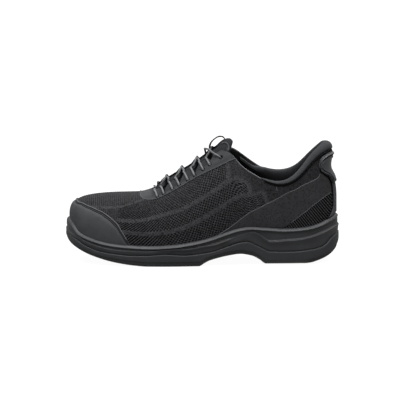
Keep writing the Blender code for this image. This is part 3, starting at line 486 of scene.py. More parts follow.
def quarter_round(share):
    """Profile of a rounded edge, from 0 at share 0 to 1 at share 1: a quarter of a circle."""
    return np.sqrt(1 - (1 - share) ** 2)


def crowded(count, pull=0.8):
    """Shares from 0 to 1, closer together at both ends: the even share less a sine."""
    even = np.linspace(0, 1, count)
    return even - pull * np.sin(FULL_TURN * even) / FULL_TURN


def run_along(points):
    """Length along a line of points, from the first to each of them."""
    return np.append(0, np.cumsum(np.linalg.norm(np.diff(points, axis=0), axis=1)))


def evenly(line, step):
    """A line read again at equal steps of length; its first three columns are the points."""
    length = run_along(line[:, :3])
    at = np.arange(0.5 * step, length[-1], step)
    return np.stack([np.interp(at, length, line[:, axis]) for axis in range(line.shape[1])], -1)


def unit(vectors):
    """Vectors divided by their own lengths."""
    return vectors / np.linalg.norm(vectors, axis=-1, keepdims=True)


# Outline of the sole and the last's surface


def centre_line(theta):
    """Y of the long axis of the foot: from the heel inwards to the big toe, by the share squared."""
    toe_share = (1 + np.cos(theta)) / 2
    return HEEL_SHIFT + (TOE_SWING - HEEL_SHIFT) * toe_share**2


def outline(theta, inset=0.0):
    """Plan point of the sole's edge, moved inwards along its normal by inset."""
    theta = np.asarray(theta, float)
    along, lateral, medial = np.array(OUTLINE).T
    knots = ring_angle(along)
    ring = np.concatenate([knots, FULL_TURN - knots[::-1]])
    out = np.concatenate(
        [lateral * MM + centre_line(knots), (medial * MM - centre_line(knots))[::-1]]
    )
    width = out / np.abs(np.sin(ring))

    def edge(at):
        """The edge itself: an ellipse whose half width changes smoothly round the ring."""
        out = closed_spline(ring, width, at) * np.sin(at)
        return np.stack([-LENGTH / 2 * np.cos(at), centre_line(at) - out], -1)

    heading = unit(edge(theta + TINY_ANGLE) - edge(theta - TINY_ANGLE))
    outward = np.stack([heading[..., 1], -heading[..., 0]], -1)
    return edge(theta) - np.asarray(inset)[..., None] * outward


def sole_line(name, theta):
    """Height, or distance in or out, of one of the sole's lines, in metres."""
    return no_overshoot(SOLE_LINES[name], theta) * MM


def last_value(name, theta):
    """A column of the last's sections, read smoothly round the whole ring by a closed spline."""
    columns = dict(zip(LAST_COLUMNS, np.array(LAST, float).T))
    knots = ring_angle(columns["along"])
    values = columns[name]
    lateral_share = {"spread": -1.0, "lift": 0.0}.get(name, 1.0)
    both = np.concatenate([lateral_share * values, values[1:-1][::-1]])
    ring = np.concatenate([knots, FULL_TURN - knots[1:-1][::-1]])
    return closed_spline(ring, both, theta)


def throat_line(x):
    """Y of the middle of the throat and collar at a place along the shoe, as for the long axis."""
    toe_share = 0.5 - np.asarray(x) / LENGTH
    return HEEL_SHIFT + (TOE_SWING - HEEL_SHIFT) * np.clip(toe_share, 0, 1) ** 2


def upper_point(theta, level):
    """Outer face of the upper: a cubic arc from the rim to the top edge at each ring angle."""
    theta, level = np.broadcast_arrays(np.asarray(theta, float), np.asarray(level, float))
    plan = outline(theta, RIM_WIDTH + GAP + sole_line("rim_in", theta))
    rim = sole_line("rim", theta)
    bed = sole_line("bed", theta) + GAP
    foot = np.concatenate([plan, rim[..., None]], -1)
    top_x = last_value("top_x", theta) * MM
    top_y = throat_line(top_x) + last_value("spread", theta) * MM
    top_z = last_value("top_z", theta) * MM + last_value("lift", theta) * MEDIAL_LIFT
    edge = np.stack([top_x, top_y, top_z], -1)

    inward = outline(theta, np.ones(theta.shape)) - outline(theta)
    heading = unit((edge - foot)[..., :2] + INWARD_PULL * inward)
    slope = np.radians(last_value("slope", theta))
    arrive = np.concatenate([heading * np.cos(slope)[..., None], np.sin(slope)[..., None]], -1)
    leave = np.concatenate([-OUTWARD_LEAN * inward, np.ones(theta.shape + (1,))], -1)
    rise = last_value("rise", theta)[..., None] * MM
    reach = last_value("reach", theta)[..., None] * MM

    v = np.maximum(level, 0.0)[..., None]
    curve = (
        foot * (1 - v) ** 3
        + 3 * (foot + rise * leave) * v * (1 - v) ** 2
        + 3 * (edge - reach * arrive) * v**2 * (1 - v)
        + edge * v**3
    )
    curve[..., 2] += np.minimum(level, 0.0) * (rim - bed)
    return curve


def upper_normal(theta, level):
    """Unit normal of the upper's outer face, level below the rim."""
    centre = np.maximum(level, LEVEL_STEP)
    around = upper_point(theta + TINY_ANGLE, centre) - upper_point(theta - TINY_ANGLE, centre)
    upward = upper_point(theta, centre + LEVEL_STEP) - upper_point(theta, centre - LEVEL_STEP)
    normal = np.cross(around, upward)
    normal[..., 2] = np.where(level <= 0, 0.0, normal[..., 2])
    return unit(normal)


def upper_out(theta, level, out):
    """Point at a distance out from the upper's outer face, along its normal."""
    theta, level, out = np.broadcast_arrays(
        np.asarray(theta, float), np.asarray(level, float), np.asarray(out, float)
    )
    return upper_point(theta, level) + out[..., None] * upper_normal(theta, level)


def level_length(theta):
    """Length in metres of the upper's arc from rim to top edge at each ring angle, by 40 chords."""
    arc = upper_point(np.asarray(theta)[..., None], np.linspace(0, 1, 41))
    return np.linalg.norm(np.diff(arc, axis=-2), axis=-1).sum(-1)


def throat_angle(x, level):
    """Lateral ring angle at which the upper passes a place along the throat."""
    scan = np.linspace(*ring_angle(THROAT_SPAN), 300)
    return np.interp(x, upper_point(scan, np.full(scan.shape, level))[:, 0], scan)


def spread_angles(start, stop, count, weight):
    """Ring angles between two, spaced along the rim so that weight(along) is shared out evenly."""
    fine = np.linspace(start, stop, 3000)
    step = np.linalg.norm(np.diff(outline(fine), axis=0), axis=1)
    middle = share_along((fine[1:] + fine[:-1]) / 2)
    total = np.append(0, np.cumsum(step * weight(middle)))
    return np.interp(np.linspace(0, total[-1], count), total, fine)


# Mesh making


def loft(name, rings, capped):
    """Skin over rings of points, bodies by stations by places round a ring, with flat end caps."""
    rings = rings.reshape((-1,) + rings.shape[-3:])
    number = np.arange(rings[..., 0].size).reshape(rings.shape[:3])
    beside = np.roll(number, -1, 2)
    quads = np.stack([number[:, :-1], beside[:, :-1], beside[:, 1:], number[:, 1:]], -1).reshape(-1, 4)
    caps = np.concatenate([number[:, 0, ::-1], number[:, -1]]) if capped else np.zeros((0, 3), int)
    corners = np.concatenate([quads.ravel(), caps.ravel()])
    sizes = np.concatenate([np.full(len(quads), 4), np.full(len(caps), caps.shape[1])])
    mesh = bpy.data.meshes.new(name)
    mesh.vertices.add(number.size)
    mesh.vertices.foreach_set("co", rings.astype(np.float32).ravel())
    mesh.loops.add(len(corners))
    mesh.loops.foreach_set("vertex_index", corners.astype(np.int32))
    mesh.polygons.add(len(sizes))
    mesh.polygons.foreach_set("loop_start", (np.cumsum(sizes) - sizes).astype(np.int32))
    mesh.update(calc_edges=True)
    return mesh


def show(name, rings, finish, nodes=(), capped=True, marks=None, sharp=50):
    """One visible piece of the shoe from rings of points, standing for the nodes it is named with.

    marks are numbers given to each point, which its material reads by name; sharp is the angle in
    degrees past which an edge isn't shaded smooth.
    """
    mesh = loft(name, rings, capped)
    for mark, values in (marks or {}).items():
        layer = mesh.attributes.new(mark, "FLOAT", "POINT")
        layer.data.foreach_set("value", values.astype(np.float32).ravel())
    shape = bmesh.new()
    shape.from_mesh(mesh)
    bmesh.ops.remove_doubles(shape, verts=shape.verts, dist=MERGE_DISTANCE)
    bmesh.ops.recalc_face_normals(shape, faces=shape.faces)
    shape.to_mesh(mesh)
    shape.free()
    mesh.shade_smooth()
    mesh.set_sharp_from_angle(angle=math.radians(sharp))
    mesh.materials.append(finish)
    piece = bpy.data.objects.new(name, mesh)
    bpy.context.scene.collection.objects.link(piece)
    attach(piece, "root")
    if nodes:
        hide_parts(*nodes)
    return piece


def tube(path, radius, up, sides=14):
    """Rings of a round cord: a circle carried along a path, kept from turning by an up vector."""
    heading = unit(np.gradient(path, axis=0))
    side = unit(np.cross(heading, up))
    out = np.cross(side, heading)
    turn = np.linspace(0, FULL_TURN, sides, endpoint=False)
    spoke = np.cos(turn)[None, :, None] * side[:, None] + np.sin(turn)[None, :, None] * out[:, None]
    return path[:, None] + np.broadcast_to(radius, (len(path), sides))[..., None] * spoke


def line_on_upper(theta, level, out, step):
    """Points at equal steps along a line of ring angles and levels on the upper, and their normals."""
    theta, level = np.broadcast_arrays(theta, level)
    line = np.concatenate([upper_out(theta, level, out), np.stack([theta, level], -1)], -1)
    line = evenly(line, step)
    return line[:, :3], upper_normal(line[:, 3], line[:, 4])


def show_cord(kind, theta, level, out, finish, slot, which=""):
    """Thin cord along a line on the upper, its two ends rounded off over two steps.

    kind gives the cord its radius; with which, for one of several, it also names the piece.
    """
    points, normal = line_on_upper(theta, level, out, CORD_STEP)
    place = np.arange(len(points))
    taper = np.sqrt(np.clip((np.minimum(place, place[::-1]) + 0.2) / 2, 0, 1))
    rings = tube(points, CORD_RADII[kind] * MM * taper[:, None], normal, CORD_SIDES)
    show(kind + which, rings, finish)


def stitch_row(theta, level, out):
    """Stitches along a line on the upper: each an ellipsoid drawn out along the seam, half sunk."""
    points, normal = line_on_upper(theta, level, out, STITCH_PITCH)
    heading = unit(np.gradient(points, axis=0))
    side = np.cross(heading, normal)
    reach = np.linspace(-1, 1, 7)[None, :, None, None]
    round_off = np.sqrt(1 - reach**2) * STITCH_RADIUS
    turn = np.linspace(0, FULL_TURN, 6, endpoint=False)[None, None, :, None]
    return (
        points[:, None, None]
        + heading[:, None, None] * reach * STITCH_LENGTH / 2
        + side[:, None, None] * round_off * np.cos(turn)
        + normal[:, None, None] * round_off * (0.35 + np.sin(turn))
    )


def overlay(theta, low, high, lift, rows, raised=None):
    """Rings of a panel that lies on the upper between two levels at each ring angle.

    The outer face stands out by lift, rounds down over its edges and sinks into the knit; the ring
    then runs back underneath. raised(from_high) adds height by the distance in mm from the upper edge.
    Returns the rings and that distance at each of their points.
    """
    share = crowded(rows)[None, :]
    theta = theta[:, None]
    low, high = low[:, None], high[:, None]
    level = low * (1 - share) + high * share
    length = level_length(theta)
    run = run_along(upper_point(theta[:, 0], (low + high)[:, 0] / 2))
    from_end = np.minimum(run, run[-1] - run)[:, None]
    edge = np.minimum(np.minimum(level - low, high - level) * length, from_end)
    inside = np.clip(edge / EDGE_ROUND, 0, 1)
    from_high = (high - level) * length / MM
    out = (lift + SUNK) * quarter_round(inside) - SUNK
    if raised is not None:
        out = out + raised(from_high) * MM * inside
    outer = upper_out(theta, level, out)
    back = np.linspace(1, 0, UNDER_ROWS)[None, :]
    under = upper_out(theta, low * (1 - back) + high * back, -2 * SUNK)
    far = np.pad(from_high, ((0, 0), (0, UNDER_ROWS)), constant_values=99.0)
    return np.concatenate([outer, under], 1), far


# Materials


def colour(code):
    """Linear colour from an sRGB hex code."""
    parts = [int(code[i : i + 2], 16) / 255 for i in (1, 3, 5)]
    return (*[c / 12.92 if c <= 0.04045 else ((c + 0.055) / 1.055) ** 2.4 for c in parts], 1.0)


def add(tree, kind, inputs=None, **settings):
    """Adds a node: settings are its properties; inputs are values to set or sockets to link."""
    made = tree.nodes.new("ShaderNode" + kind)
    for key, value in settings.items():
        setattr(made, key, value)
    for key, value in (inputs or {}).items():
        if isinstance(value, bpy.types.NodeSocket):
            tree.links.new(value, made.inputs[key])
        else:
            made.inputs[key].default_value = value
    return made


def begin(name, roughness, specular, sheen=0.0):
    """A new material: its node tree, its shader and the piece's own coordinates in millimetres."""
    made = bpy.data.materials.new(name)
    made.use_nodes = True
    tree = made.node_tree
    shader = tree.nodes["Principled BSDF"]
    shader.inputs["Roughness"].default_value = roughness
    shader.inputs["Specular IOR Level"].default_value = specular
    shader.inputs["Sheen Weight"].default_value = sheen
    place = add(tree, "TexCoord")
    in_mm = add(tree, "VectorMath", {0: place.outputs["Object"], "Scale": 1 / MM}, operation="SCALE")
    return made, tree, shader, in_mm.outputs[0]


def mottled(tree, at, size, dark, light):
    """Colour that drifts between two tones over patches of a size in millimetres."""
    cloud = add(tree, "TexNoise", {"Vector": at, "Scale": 1 / size, "Detail": 4.0, "Roughness": 0.6})
    low, high = 0.5 - MOTTLE_SPREAD / 2, 0.5 + MOTTLE_SPREAD / 2
    share = add(tree, "MapRange", {0: cloud.outputs[0], 1: low, 2: high})
    tones = {0: share.outputs[0], 6: colour(dark), 7: colour(light)}
    return add(tree, "Mix", tones, data_type="RGBA").outputs[2]


def surface(tree, shader, face, height, depth):
    """Gives the shader the colour of its face and a relief of a depth in millimetres."""
    tree.links.new(face, shader.inputs["Base Color"])
    bump = add(tree, "Bump", {"Height": height, "Distance": depth * MM})
    tree.links.new(bump.outputs[0], shader.inputs["Normal"])


def knit_polyester():
    """Flat-knitted polyester yarn: dull, fine looped rows, mesh holes painted near black: dark lining,
    painted shade.
    """
    made, tree, shader, at = begin("knit_polyester", 0.88, 0.05, 0.04)
    # The hole mark paints near black: the dark lining and painted shade in the mesh holes.
    hole = add(tree, "Attribute", attribute_name="hole").outputs["Fac"]
    yarn = mottled(tree, at, 9.0, "#414143", "#4a4a4d")
    loops = add(tree, "TexVoronoi", {"Vector": at, "Scale": 1 / YARN_LOOP}).outputs["Distance"]
    # The yarn is painted darker away from each loop's middle, where the relief sinks: painted shade
    # between the loops.
    shaded = add(tree, "Mix", {0: loops, 6: yarn, 7: colour("#1c1c1d")}, data_type="RGBA")
    toned_and_shaded_yarn = add(tree, "Mix", {0: hole, 6: shaded.outputs[2], 7: colour("#050506")}, data_type="RGBA")
    surface(tree, shader, toned_and_shaded_yarn.outputs[2], loops, -0.3)
    return made


def spacer_lining():
    """Brushed spacer fabric inside the shoe: very matt and dark, with a small cellular face."""
    made, tree, shader, at = begin("spacer_lining", 0.95, 0.08, 0.1)
    cells = add(tree, "TexVoronoi", {"Vector": at, "Scale": 1 / LINING_CELL})
    face = mottled(tree, at, 6.0, "#121213", "#1b1b1c")
    surface(tree, shader, face, cells.outputs["Distance"], 0.3)
    return made


def padded_textile(name, dark, light, sheen=0.06):
    """Soft tricot over foam: matt with a faint halo at grazing angles, fine crosswise rows of loops."""
    made, tree, shader, at = begin(name, 0.9, 0.02, sheen)
    # The mark read here paints near black: painted shade deep inside the collar and on the tongue's
    # ridge, flanks and under the laces.
    painted_shade_and_dark_tone = add(tree, "Attribute", attribute_name="painted_shade_and_dark_tone").outputs["Fac"]
    face = mottled(tree, at, 7.0, dark, light)
    darkened = add(tree, "Mix", {0: painted_shade_and_dark_tone, 6: face, 7: colour(DEEP_SHADE)}, data_type="RGBA")
    loops = add(tree, "TexVoronoi", {"Vector": at, "Scale": 1 / TRICOT_LOOP})
    surface(tree, shader, darkened.outputs[2], loops.outputs["Distance"], 0.18)
    return made


def coated_microfibre(name, dark, light, roughness, specular, pores=0.0):
    """Microfibre with a polyurethane coat: even, a fine pebble grain, low soft gloss, pores if any."""
    made, tree, shader, at = begin(name, roughness, specular)
    # The mark read here paints near black: painted shade in the guard's stitched channels and the
    # eyestay's lace holes, and the tabs' own darker tone.
    painted_shade_and_dark_tone = add(tree, "Attribute", attribute_name="painted_shade_and_dark_tone").outputs["Fac"]
    face = mottled(tree, at, 12.0, dark, light)
    # Pores are painted as near-black dots: painted shade inside them.
    cells = add(tree, "TexVoronoi", {"Vector": at, "Scale": 1 / PORE_SPACING})
    pore = add(tree, "MapRange", {0: cells.outputs["Distance"], 1: 0.5, 2: 0.1, 4: pores}).outputs[0]
    porous = add(tree, "Mix", {0: pore, 6: face, 7: colour(DEEP_SHADE)}, data_type="RGBA")
    darkened = add(tree, "Mix", {0: painted_shade_and_dark_tone, 6: porous.outputs[2], 7: colour(DEEP_SHADE)}, data_type="RGBA")
    grain = {"Vector": at, "Scale": 1 / PEBBLE, "Detail": 3.0, "Roughness": 0.55}
    pebble = add(tree, "TexNoise", grain).outputs[0]
    dulled = {0: pebble, 1: 0.3, 2: 0.7, 3: roughness - 0.06, 4: roughness + 0.08}
    tree.links.new(add(tree, "MapRange", dulled).outputs[0], shader.inputs["Roughness"])
    surface(tree, shader, darkened.outputs[2], pebble, 0.14)
    return made


def moulded_rubber(name, dark, light, roughness):
    """Moulded polyurethane or nitrile rubber: an eroded mould leaves it satin with a fine sandy skin."""
    made, tree, shader, at = begin(name, roughness, 0.3)
    grit = {"Vector": at, "Scale": 1 / MOULD_GRIT, "Detail": 2.0, "Roughness": 0.5}
    sand = add(tree, "TexNoise", grit)
    patch = add(tree, "TexNoise", {"Vector": at, "Scale": 1 / GLOSS_PATCH, "Detail": 3.0})
    dulled = {0: patch.outputs[0], 1: 0.3, 2: 0.7, 3: roughness - 0.05, 4: roughness + 0.07}
    tree.links.new(add(tree, "MapRange", dulled).outputs[0], shader.inputs["Roughness"])
    surface(tree, shader, mottled(tree, at, 22.0, dark, light), sand.outputs[0], 0.1)
    return made


def braided_polyester():
    """Round braided lace of bright filament yarn: braid crests painted lighter, a painted glint;
    hollows, painted shade.
    """
    made, tree, shader, _ = begin("braided_polyester", 0.55, 0.35, 0.1)
    braid = add(tree, "Attribute", attribute_name="braid").outputs["Fac"]
    mixed = add(tree, "Mix", {0: braid, 6: colour("#38393b"), 7: colour("#78797b")}, data_type="RGBA")
    surface(tree, shader, mixed.outputs[2], braid, 0.2)
    return made


def woven_tape(name, dark, light, specular=0.3):
    """Narrow woven polyester tape or thread: a slight silkiness, and a fine rib across it.

    The wave's scale of 0.5 on millimetres gives one rib in 0.63 mm.
    """
    made, tree, shader, at = begin(name, 0.6, specular)
    ribs = add(tree, "TexWave", {"Vector": at, "Scale": 0.5, "Distortion": 0.6}).outputs["Fac"]
    mixed = add(tree, "Mix", {0: ribs, 6: colour(dark), 7: colour(light)}, data_type="RGBA")
    surface(tree, shader, mixed.outputs[2], ribs, 0.12)
    return made


def ribbed_rubber():
    """Rubber-coated knit in the heel window: near black between ribs, painted shade; their tops lighter,
    a painted highlight.
    """
    made, tree, shader, at = begin("ribbed_rubber", 0.7, 0.08)
    crest = add(tree, "Attribute", attribute_name="crest").outputs["Fac"]
    mixed = add(tree, "Mix", {0: crest, 6: colour("#050506"), 7: colour("#545557")}, data_type="RGBA")
    sand = add(tree, "TexNoise", {"Vector": at, "Scale": 1 / COATING_GRIT, "Detail": 2.0})
    surface(tree, shader, mixed.outputs[2], sand.outputs[0], 0.1)
    return made


def studio_white():
    """White light table: matt acrylic lit from below, so that hardly a shadow shows on it."""
    made, tree, shader, at = begin("studio_white", 0.9, 0.0)
    tree.links.new(mottled(tree, at, 300.0, "#565656", "#585858"), shader.inputs["Base Color"])
    shader.inputs["Emission Color"].default_value = colour("#ffffff")
    shader.inputs["Emission Strength"].default_value = 0.96
    return made


# Sole


def sole_stations(count, extra=()):
    """Ring angles from toe to heel, crowded towards the middle, with one at each break of a line."""
    even = np.linspace(0, math.pi, count)
    stations = even + MIDDLE_CROWDING * np.sin(2 * even)
    return np.unique(np.concatenate([stations, ring_angle(SOLE_BREAKS), ring_angle(np.array(extra))]))


def side_points(theta, levels, per_span):
    """Points of a side wall: a tight curve through levels of (distance out from the outline, height)."""
    pairs = [np.broadcast_arrays(out, height, theta)[:2] for out, height in levels]
    rows = smooth(np.stack([np.stack(pair, -1) for pair in pairs]), per_span, tight=True)
    plan = outline(np.broadcast_to(theta, rows.shape[:2]), -rows[..., 0])
    return np.concatenate([plan, rows[..., 1:]], -1).swapaxes(0, 1)


def both_walls(theta, levels, per_span):
    """Lateral side wall through the levels in their order, and the medial one in the opposite order."""
    lateral = side_points(theta, levels, per_span)
    return lateral, side_points(FULL_TURN - theta, levels, per_span)[:, ::-1]


def straight_across(lateral, medial, height, count):
    """Points straight across from a lateral to a medial edge, all at a given height."""
    share = (np.arange(1, count + 1) / (count + 1))[None, :, None]
    points = lateral[:, None] * (1 - share) + medial[:, None] * share
    points[..., 2] = height[:, None]
    return points


def seam_heights(theta):
    """Where midsole and outsole meet: height at the wall, just inside it, and under the foot."""
    at_wall = sole_line("split", theta)
    bed = sole_line("bed", theta)
    inside = np.minimum(at_wall, bed - SOLE_FLOOR)
    return at_wall, inside, np.minimum(inside, (sole_line("bottom", theta) + bed) / 2)


def build_midsole(finish):
    """Cup that the upper stands in, with a sloped bead round its rim and flutes between ledges below."""
    theta = sole_stations(330)
    wall, inside, core = seam_heights(theta)
    rib, rim, bed = (sole_line(name, theta) for name in ("rib", "rim", "bed"))
    rib_out = sole_line("rib_out", theta)
    rim_in = sole_line("rim_in", theta)
    bead = rim - BEAD_HEIGHT
    rib = np.clip(rib, wall + 1.4 * MM, bead - 0.6 * MM)
    along = share_along(theta)
    fade = ramp(along, 0.004, 0.05) * (1 - 0.6 * ramp(along, 0.97, 1.0))
    low_flute = np.minimum(FLUTE_DEPTH, 0.42 * (rib - wall)) * fade
    high_flute = np.minimum(FLUTE_DEPTH, 0.42 * (bead - rib) + 0.6 * MM) * fade
    groove = 2.0 * MM * fade
    ledge = np.minimum(1.9 * MM, 0.4 * (bead - rib))
    levels = [
        (-low_flute - 0.9 * MM, inside),
        (-low_flute - 0.3 * MM, wall),
        (-low_flute, wall + 0.5 * MM),
        (-0.75 * low_flute, 0.5 * wall + 0.5 * rib),
        (rib_out - 0.3 * rim_in - 0.15 * MM, rib - 0.7 * MM * (rib > wall + 2 * MM)),
        (rib_out - 0.3 * rim_in, rib),
        (-high_flute - 0.6 * rim_in, rib + ledge),
        (-0.9 * high_flute - 0.7 * rim_in, 0.4 * rib + 0.6 * bead),
        (-groove - 0.8 * rim_in, bead),
        (-0.8 * groove - 0.9 * rim_in, bead + 0.3 * MM),
        (-0.05 * groove - rim_in, bead + 0.7 * MM),
        (-rim_in, bead + 1.1 * MM),
        (-0.7 * MM - rim_in, bead + 2.1 * MM),
        (-1.7 * MM - rim_in, rim - 0.2 * MM),
        (-2.6 * MM - rim_in, rim + 0.4 * MM),
        (-RIM_WIDTH - rim_in, rim + 0.9 * MM),
        (-RIM_WIDTH - rim_in, bed),
    ]
    lateral, medial = both_walls(theta, levels, 4)
    top = straight_across(lateral[:, -1], medial[:, 0], bed, 1)
    under = straight_across(medial[:, -1], lateral[:, 0], core, 3)
    rings = np.concatenate([lateral, top, medial, under], 1)
    show("midsole_cup", rings, finish, ["midsole"], capped=False)


def groove_depth(points):
    """Depth of the tread's grooves at each point: flat floors with slightly slanted walls."""
    depth = np.zeros(points.shape[:-1])
    for places, length in ((FORE_GROOVES, FORE_GROOVE_LENGTH), (HEEL_GROOVES, HEEL_GROOVE_LENGTH)):
        for x in places:
            beyond = np.maximum(
                np.abs(points[..., 0] - x * MM) - GROOVE_WIDTH / 2,
                np.abs(points[..., 1] - HEEL_SHIFT) - length / 2,
            )
            depth = np.maximum(depth, GROOVE_DEPTH * np.clip(1 - beyond / GROOVE_DRAFT, 0, 1))
    return depth


def build_outsole(finish):
    """Rockered tread with a stepped edge, an arch under the waist and cross grooves."""
    sides = [s * (GROOVE_WIDTH / 2 + d) for s in (-1, 1) for d in (0, GROOVE_DRAFT)]
    grooves = [0.5 + (x * MM + side) / LENGTH for x in FORE_GROOVES + HEEL_GROOVES for side in sides]
    theta = sole_stations(300, grooves)
    wall, inside, core = seam_heights(theta)
    bottom = sole_line("bottom", theta)
    tread_in = sole_line("tread_in", theta)
    tall = np.minimum(1.0, (wall - bottom) / (11 * MM))
    levels = [
        (-2.6 * MM, inside - GAP),
        (-1.9 * MM, wall - GAP),
        (-0.9 * MM, wall - GAP - 0.15 * MM * tall),
        (-0.15 * MM, wall - GAP - 0.9 * MM * tall),
        (-0.05 * MM, wall - GAP - 2.0 * MM * tall),
        (0.0, bottom + TREAD_STEP * tall + 1.2 * MM * tall),
        (-0.15 * MM, bottom + TREAD_STEP * tall + 0.4 * MM * tall),
        (-0.8 * MM, bottom + TREAD_STEP * tall),
        (-0.25 * tread_in, bottom + 2.4 * MM * tall),
        (-0.6 * tread_in, bottom + 0.7 * MM * tall),
        (-tread_in, bottom),
    ]
    lateral, medial = both_walls(theta, levels, 3)
    under = straight_across(lateral[:, -1], medial[:, 0], bottom, 40)
    tread = np.concatenate([lateral, under, medial], 1)
    tread[..., 2] = np.maximum(tread[..., 2], bottom[:, None] + groove_depth(tread))
    top = straight_across(medial[:, -1], lateral[:, 0], core - GAP, 3)
    rings = np.concatenate([tread, top], 1)
    show("outsole_tread", rings, finish, ["outsole"], capped=False, sharp=35)


def build_insole(finish):
    """Footbed lying on the cup's bed inside the upper, its upper edge rounded."""
    theta = sole_stations(120)
    inset = RIM_WIDTH + WALL + 2.5 * GAP + sole_line("rim_in", theta)
    low = sole_line("bed", theta) + GAP
    high = low + INSOLE_THICKNESS
    levels = [
        (-inset, low),
        (-inset, high - 1.5 * MM),
        (-inset - 0.6 * MM, high),
        (-inset - 3 * MM, high),
    ]
    lateral, medial = both_walls(theta, levels, 2)
    top = straight_across(lateral[:, -1], medial[:, 0], high, 9)
    under = straight_across(medial[:, -1], lateral[:, 0], low, 1)
    rings = np.concatenate([lateral, top, medial, under], 1)
    show("footbed", rings, finish, ["insole"], capped=False)


# Upper


def hole_level(x):
    """Level on the upper of the row of lace holes, rising along the throat to the top eyelet."""
    return np.interp(x, (FIRST_TAB_X - HOLE_HALF_GAP, EYELET_X), (FIRST_HOLE_LEVEL, EYELET_LEVEL))


def hole_places():
    """Places along the throat of the lace holes of one side: two on each tab and the top eyelet."""
    tabs = FIRST_TAB_X + TAB_PITCH * np.arange(TAB_COUNT)
    return np.append(np.sort(np.concatenate([tabs - HOLE_HALF_GAP, tabs + HOLE_HALF_GAP])), EYELET_X)


def eyestay_edge():
    """Ring angles at the top edge and levels of the eyestay's inner edge: flat tabs, notches between."""
    x, level = [], []
    for tab, notch in zip(FIRST_TAB_X - TAB_LEAN + TAB_PITCH * np.arange(TAB_COUNT), NOTCH_LEVELS):
        x += [tab - TAB_HALF_WIDTH, tab + TAB_HALF_WIDTH, tab + TAB_PITCH / 2]
        level += [TAB_TOP, TAB_TOP, notch]
    x += [x[-1] + 3.2 * MM, EYELET_X + 1.5 * MM, EYELET_X + 5.0 * MM]
    level += [TAB_TOP, TAB_TOP - 0.01, TAB_TOP - 0.045]
    theta = np.concatenate([[0.0], throat_angle(np.array(x), 1.0), ring_angle([0.62, 0.656])])
    return theta, np.concatenate([[1.0], level, [1.003, 0.999]])


def throat_turn(start, level):
    """Ring angle on a line across the eyestay that meets the top edge at the ring angle start.

    Lines turn back by a share of the level below the edge, so that tabs run straight across the shoe.
    """
    angles, leans = np.array(THROAT_LEAN).T
    return start + np.sign(start) * np.interp(np.abs(start), angles, leans) * (1 - level)


def punched(points, out, sides):
    """Distance out, with a round pit pressed in at each lace hole on the given sides."""
    for x in hole_places():
        level = float(hole_level(x))
        theta = float(throat_angle(x, level))
        for side in sides:
            away = np.linalg.norm(points - upper_point(on_side(side, theta), level), axis=-1)
            radius = HOLE_RADIUS * (EYELET_WIDER if x == EYELET_X else 1.0)
            out = out - PIT_DEPTH * (1 - ramp(away, 0.7 * radius, 1.15 * radius))
    return out


def knit_zones(theta, level, x):
    """Shares of open mesh, of ribbing and of dense plain knit, from the stripes and bands.

    Each mesh zone is where the distances in mm to the stripes beside it and to its rounded rear end
    are all positive; ribbing covers the toe in front of the plain band that crosses it.
    """
    along = share_along(theta)
    line_a = (level - no_overshoot(STRIPE_A, theta)) * WALL_HEIGHT
    line_b = (level - no_overshoot(STRIPE_B, theta)) * WALL_HEIGHT
    band = (no_overshoot(TOE_BAND, theta) - level) * WALL_HEIGHT
    band = np.where(along > TOE_BAND[-1][0], 99.0, band)
    ends = [(end - along) * LENGTH / MM for end in MESH_ENDS]
    top = soft_min(line_a - STRIPE_HALF, ends[0], 2.5)
    middle = soft_min(soft_min(-line_a, line_b, 0.5) - STRIPE_HALF, ends[1], 2.5)
    low = soft_min(-line_b - STRIPE_HALF, ends[2], 2.5)
    inside = np.maximum(np.maximum(top, middle), low)
    below_band = ramp(band, 2.0, 3.0)
    backwards = ramp(x, MESH_STARTS_X - 6, MESH_STARTS_X + 6)
    mesh = ramp(inside, -0.3, 0.9) * below_band * backwards
    ribbed = np.maximum(1 - ramp(band, -3.0, -2.0), below_band * (1 - backwards))
    ribbed = ribbed * (along < RIBBED_BEFORE)
    dense = ramp(-inside, 2.5, 7.0) * (along > DENSE_AFTER)
    return mesh, ribbed, dense


def along_stripes(theta, level):
    """Distances in mm along and across the knit's stripes, measured from the lower stripe.

    The height above the stripe on the upper's arc is split by the arc's lean against the stripe.
    """
    angles = theta[:, 0]
    stripe = no_overshoot(STRIPE_B, angles)
    line = upper_point(angles, stripe)
    run = run_along(line) / MM
    up = unit(upper_point(angles, stripe + 0.01) - upper_point(angles, stripe - 0.01))
    heading = unit(np.gradient(line, axis=0))
    lean = np.einsum("ij,ij->i", up, heading)
    height = (level - stripe[:, None]) * WALL_HEIGHT
    return run[:, None] + height * lean[:, None], height * np.sqrt(1 - lean**2)[:, None]


def knit_relief(theta, level, x):
    """How open the mesh is, how ribbed the knit is and how dense its plain parts are.

    Holes stand where two cosines of the distances along and across the stripes peak together, at the
    toe drawn out into slanting dashes by the first cosine, and they close a little towards the heel;
    ribs are a cosine of the distance along the shoe.
    """
    mesh, ribbed, dense = knit_zones(theta, level, x)
    along, across_rows = along_stripes(theta, level)
    turn = FULL_TURN * along / HOLE_PITCH
    slant = math.pi * across_rows / ROW_PITCH
    dashed = DASH_SHARE * (1 - ramp(x, *DASH_ENDS_X))
    peak = 0.5 + (0.25 + dashed) * np.cos(turn - slant) + (0.25 - dashed) * np.cos(turn + slant)
    closed = np.interp(x, *np.array(HOLE_CLOSING).T)
    hole = mesh * ramp(peak, HOLE_EDGE[0] + closed, HOLE_EDGE[1] + closed)
    ribs = ribbed * (0.5 + 0.5 * np.cos(FULL_TURN * x / RIB_PITCH))
    return hole, ribs, dense


def knit_weight(along):
    """How close the knit's stations stand: closest along the open mesh, fewer at the tip and heel."""
    return np.interp(along, (0.0, 0.03, 0.75, 0.80), (0.6, 1.0, 1.0, 0.35))


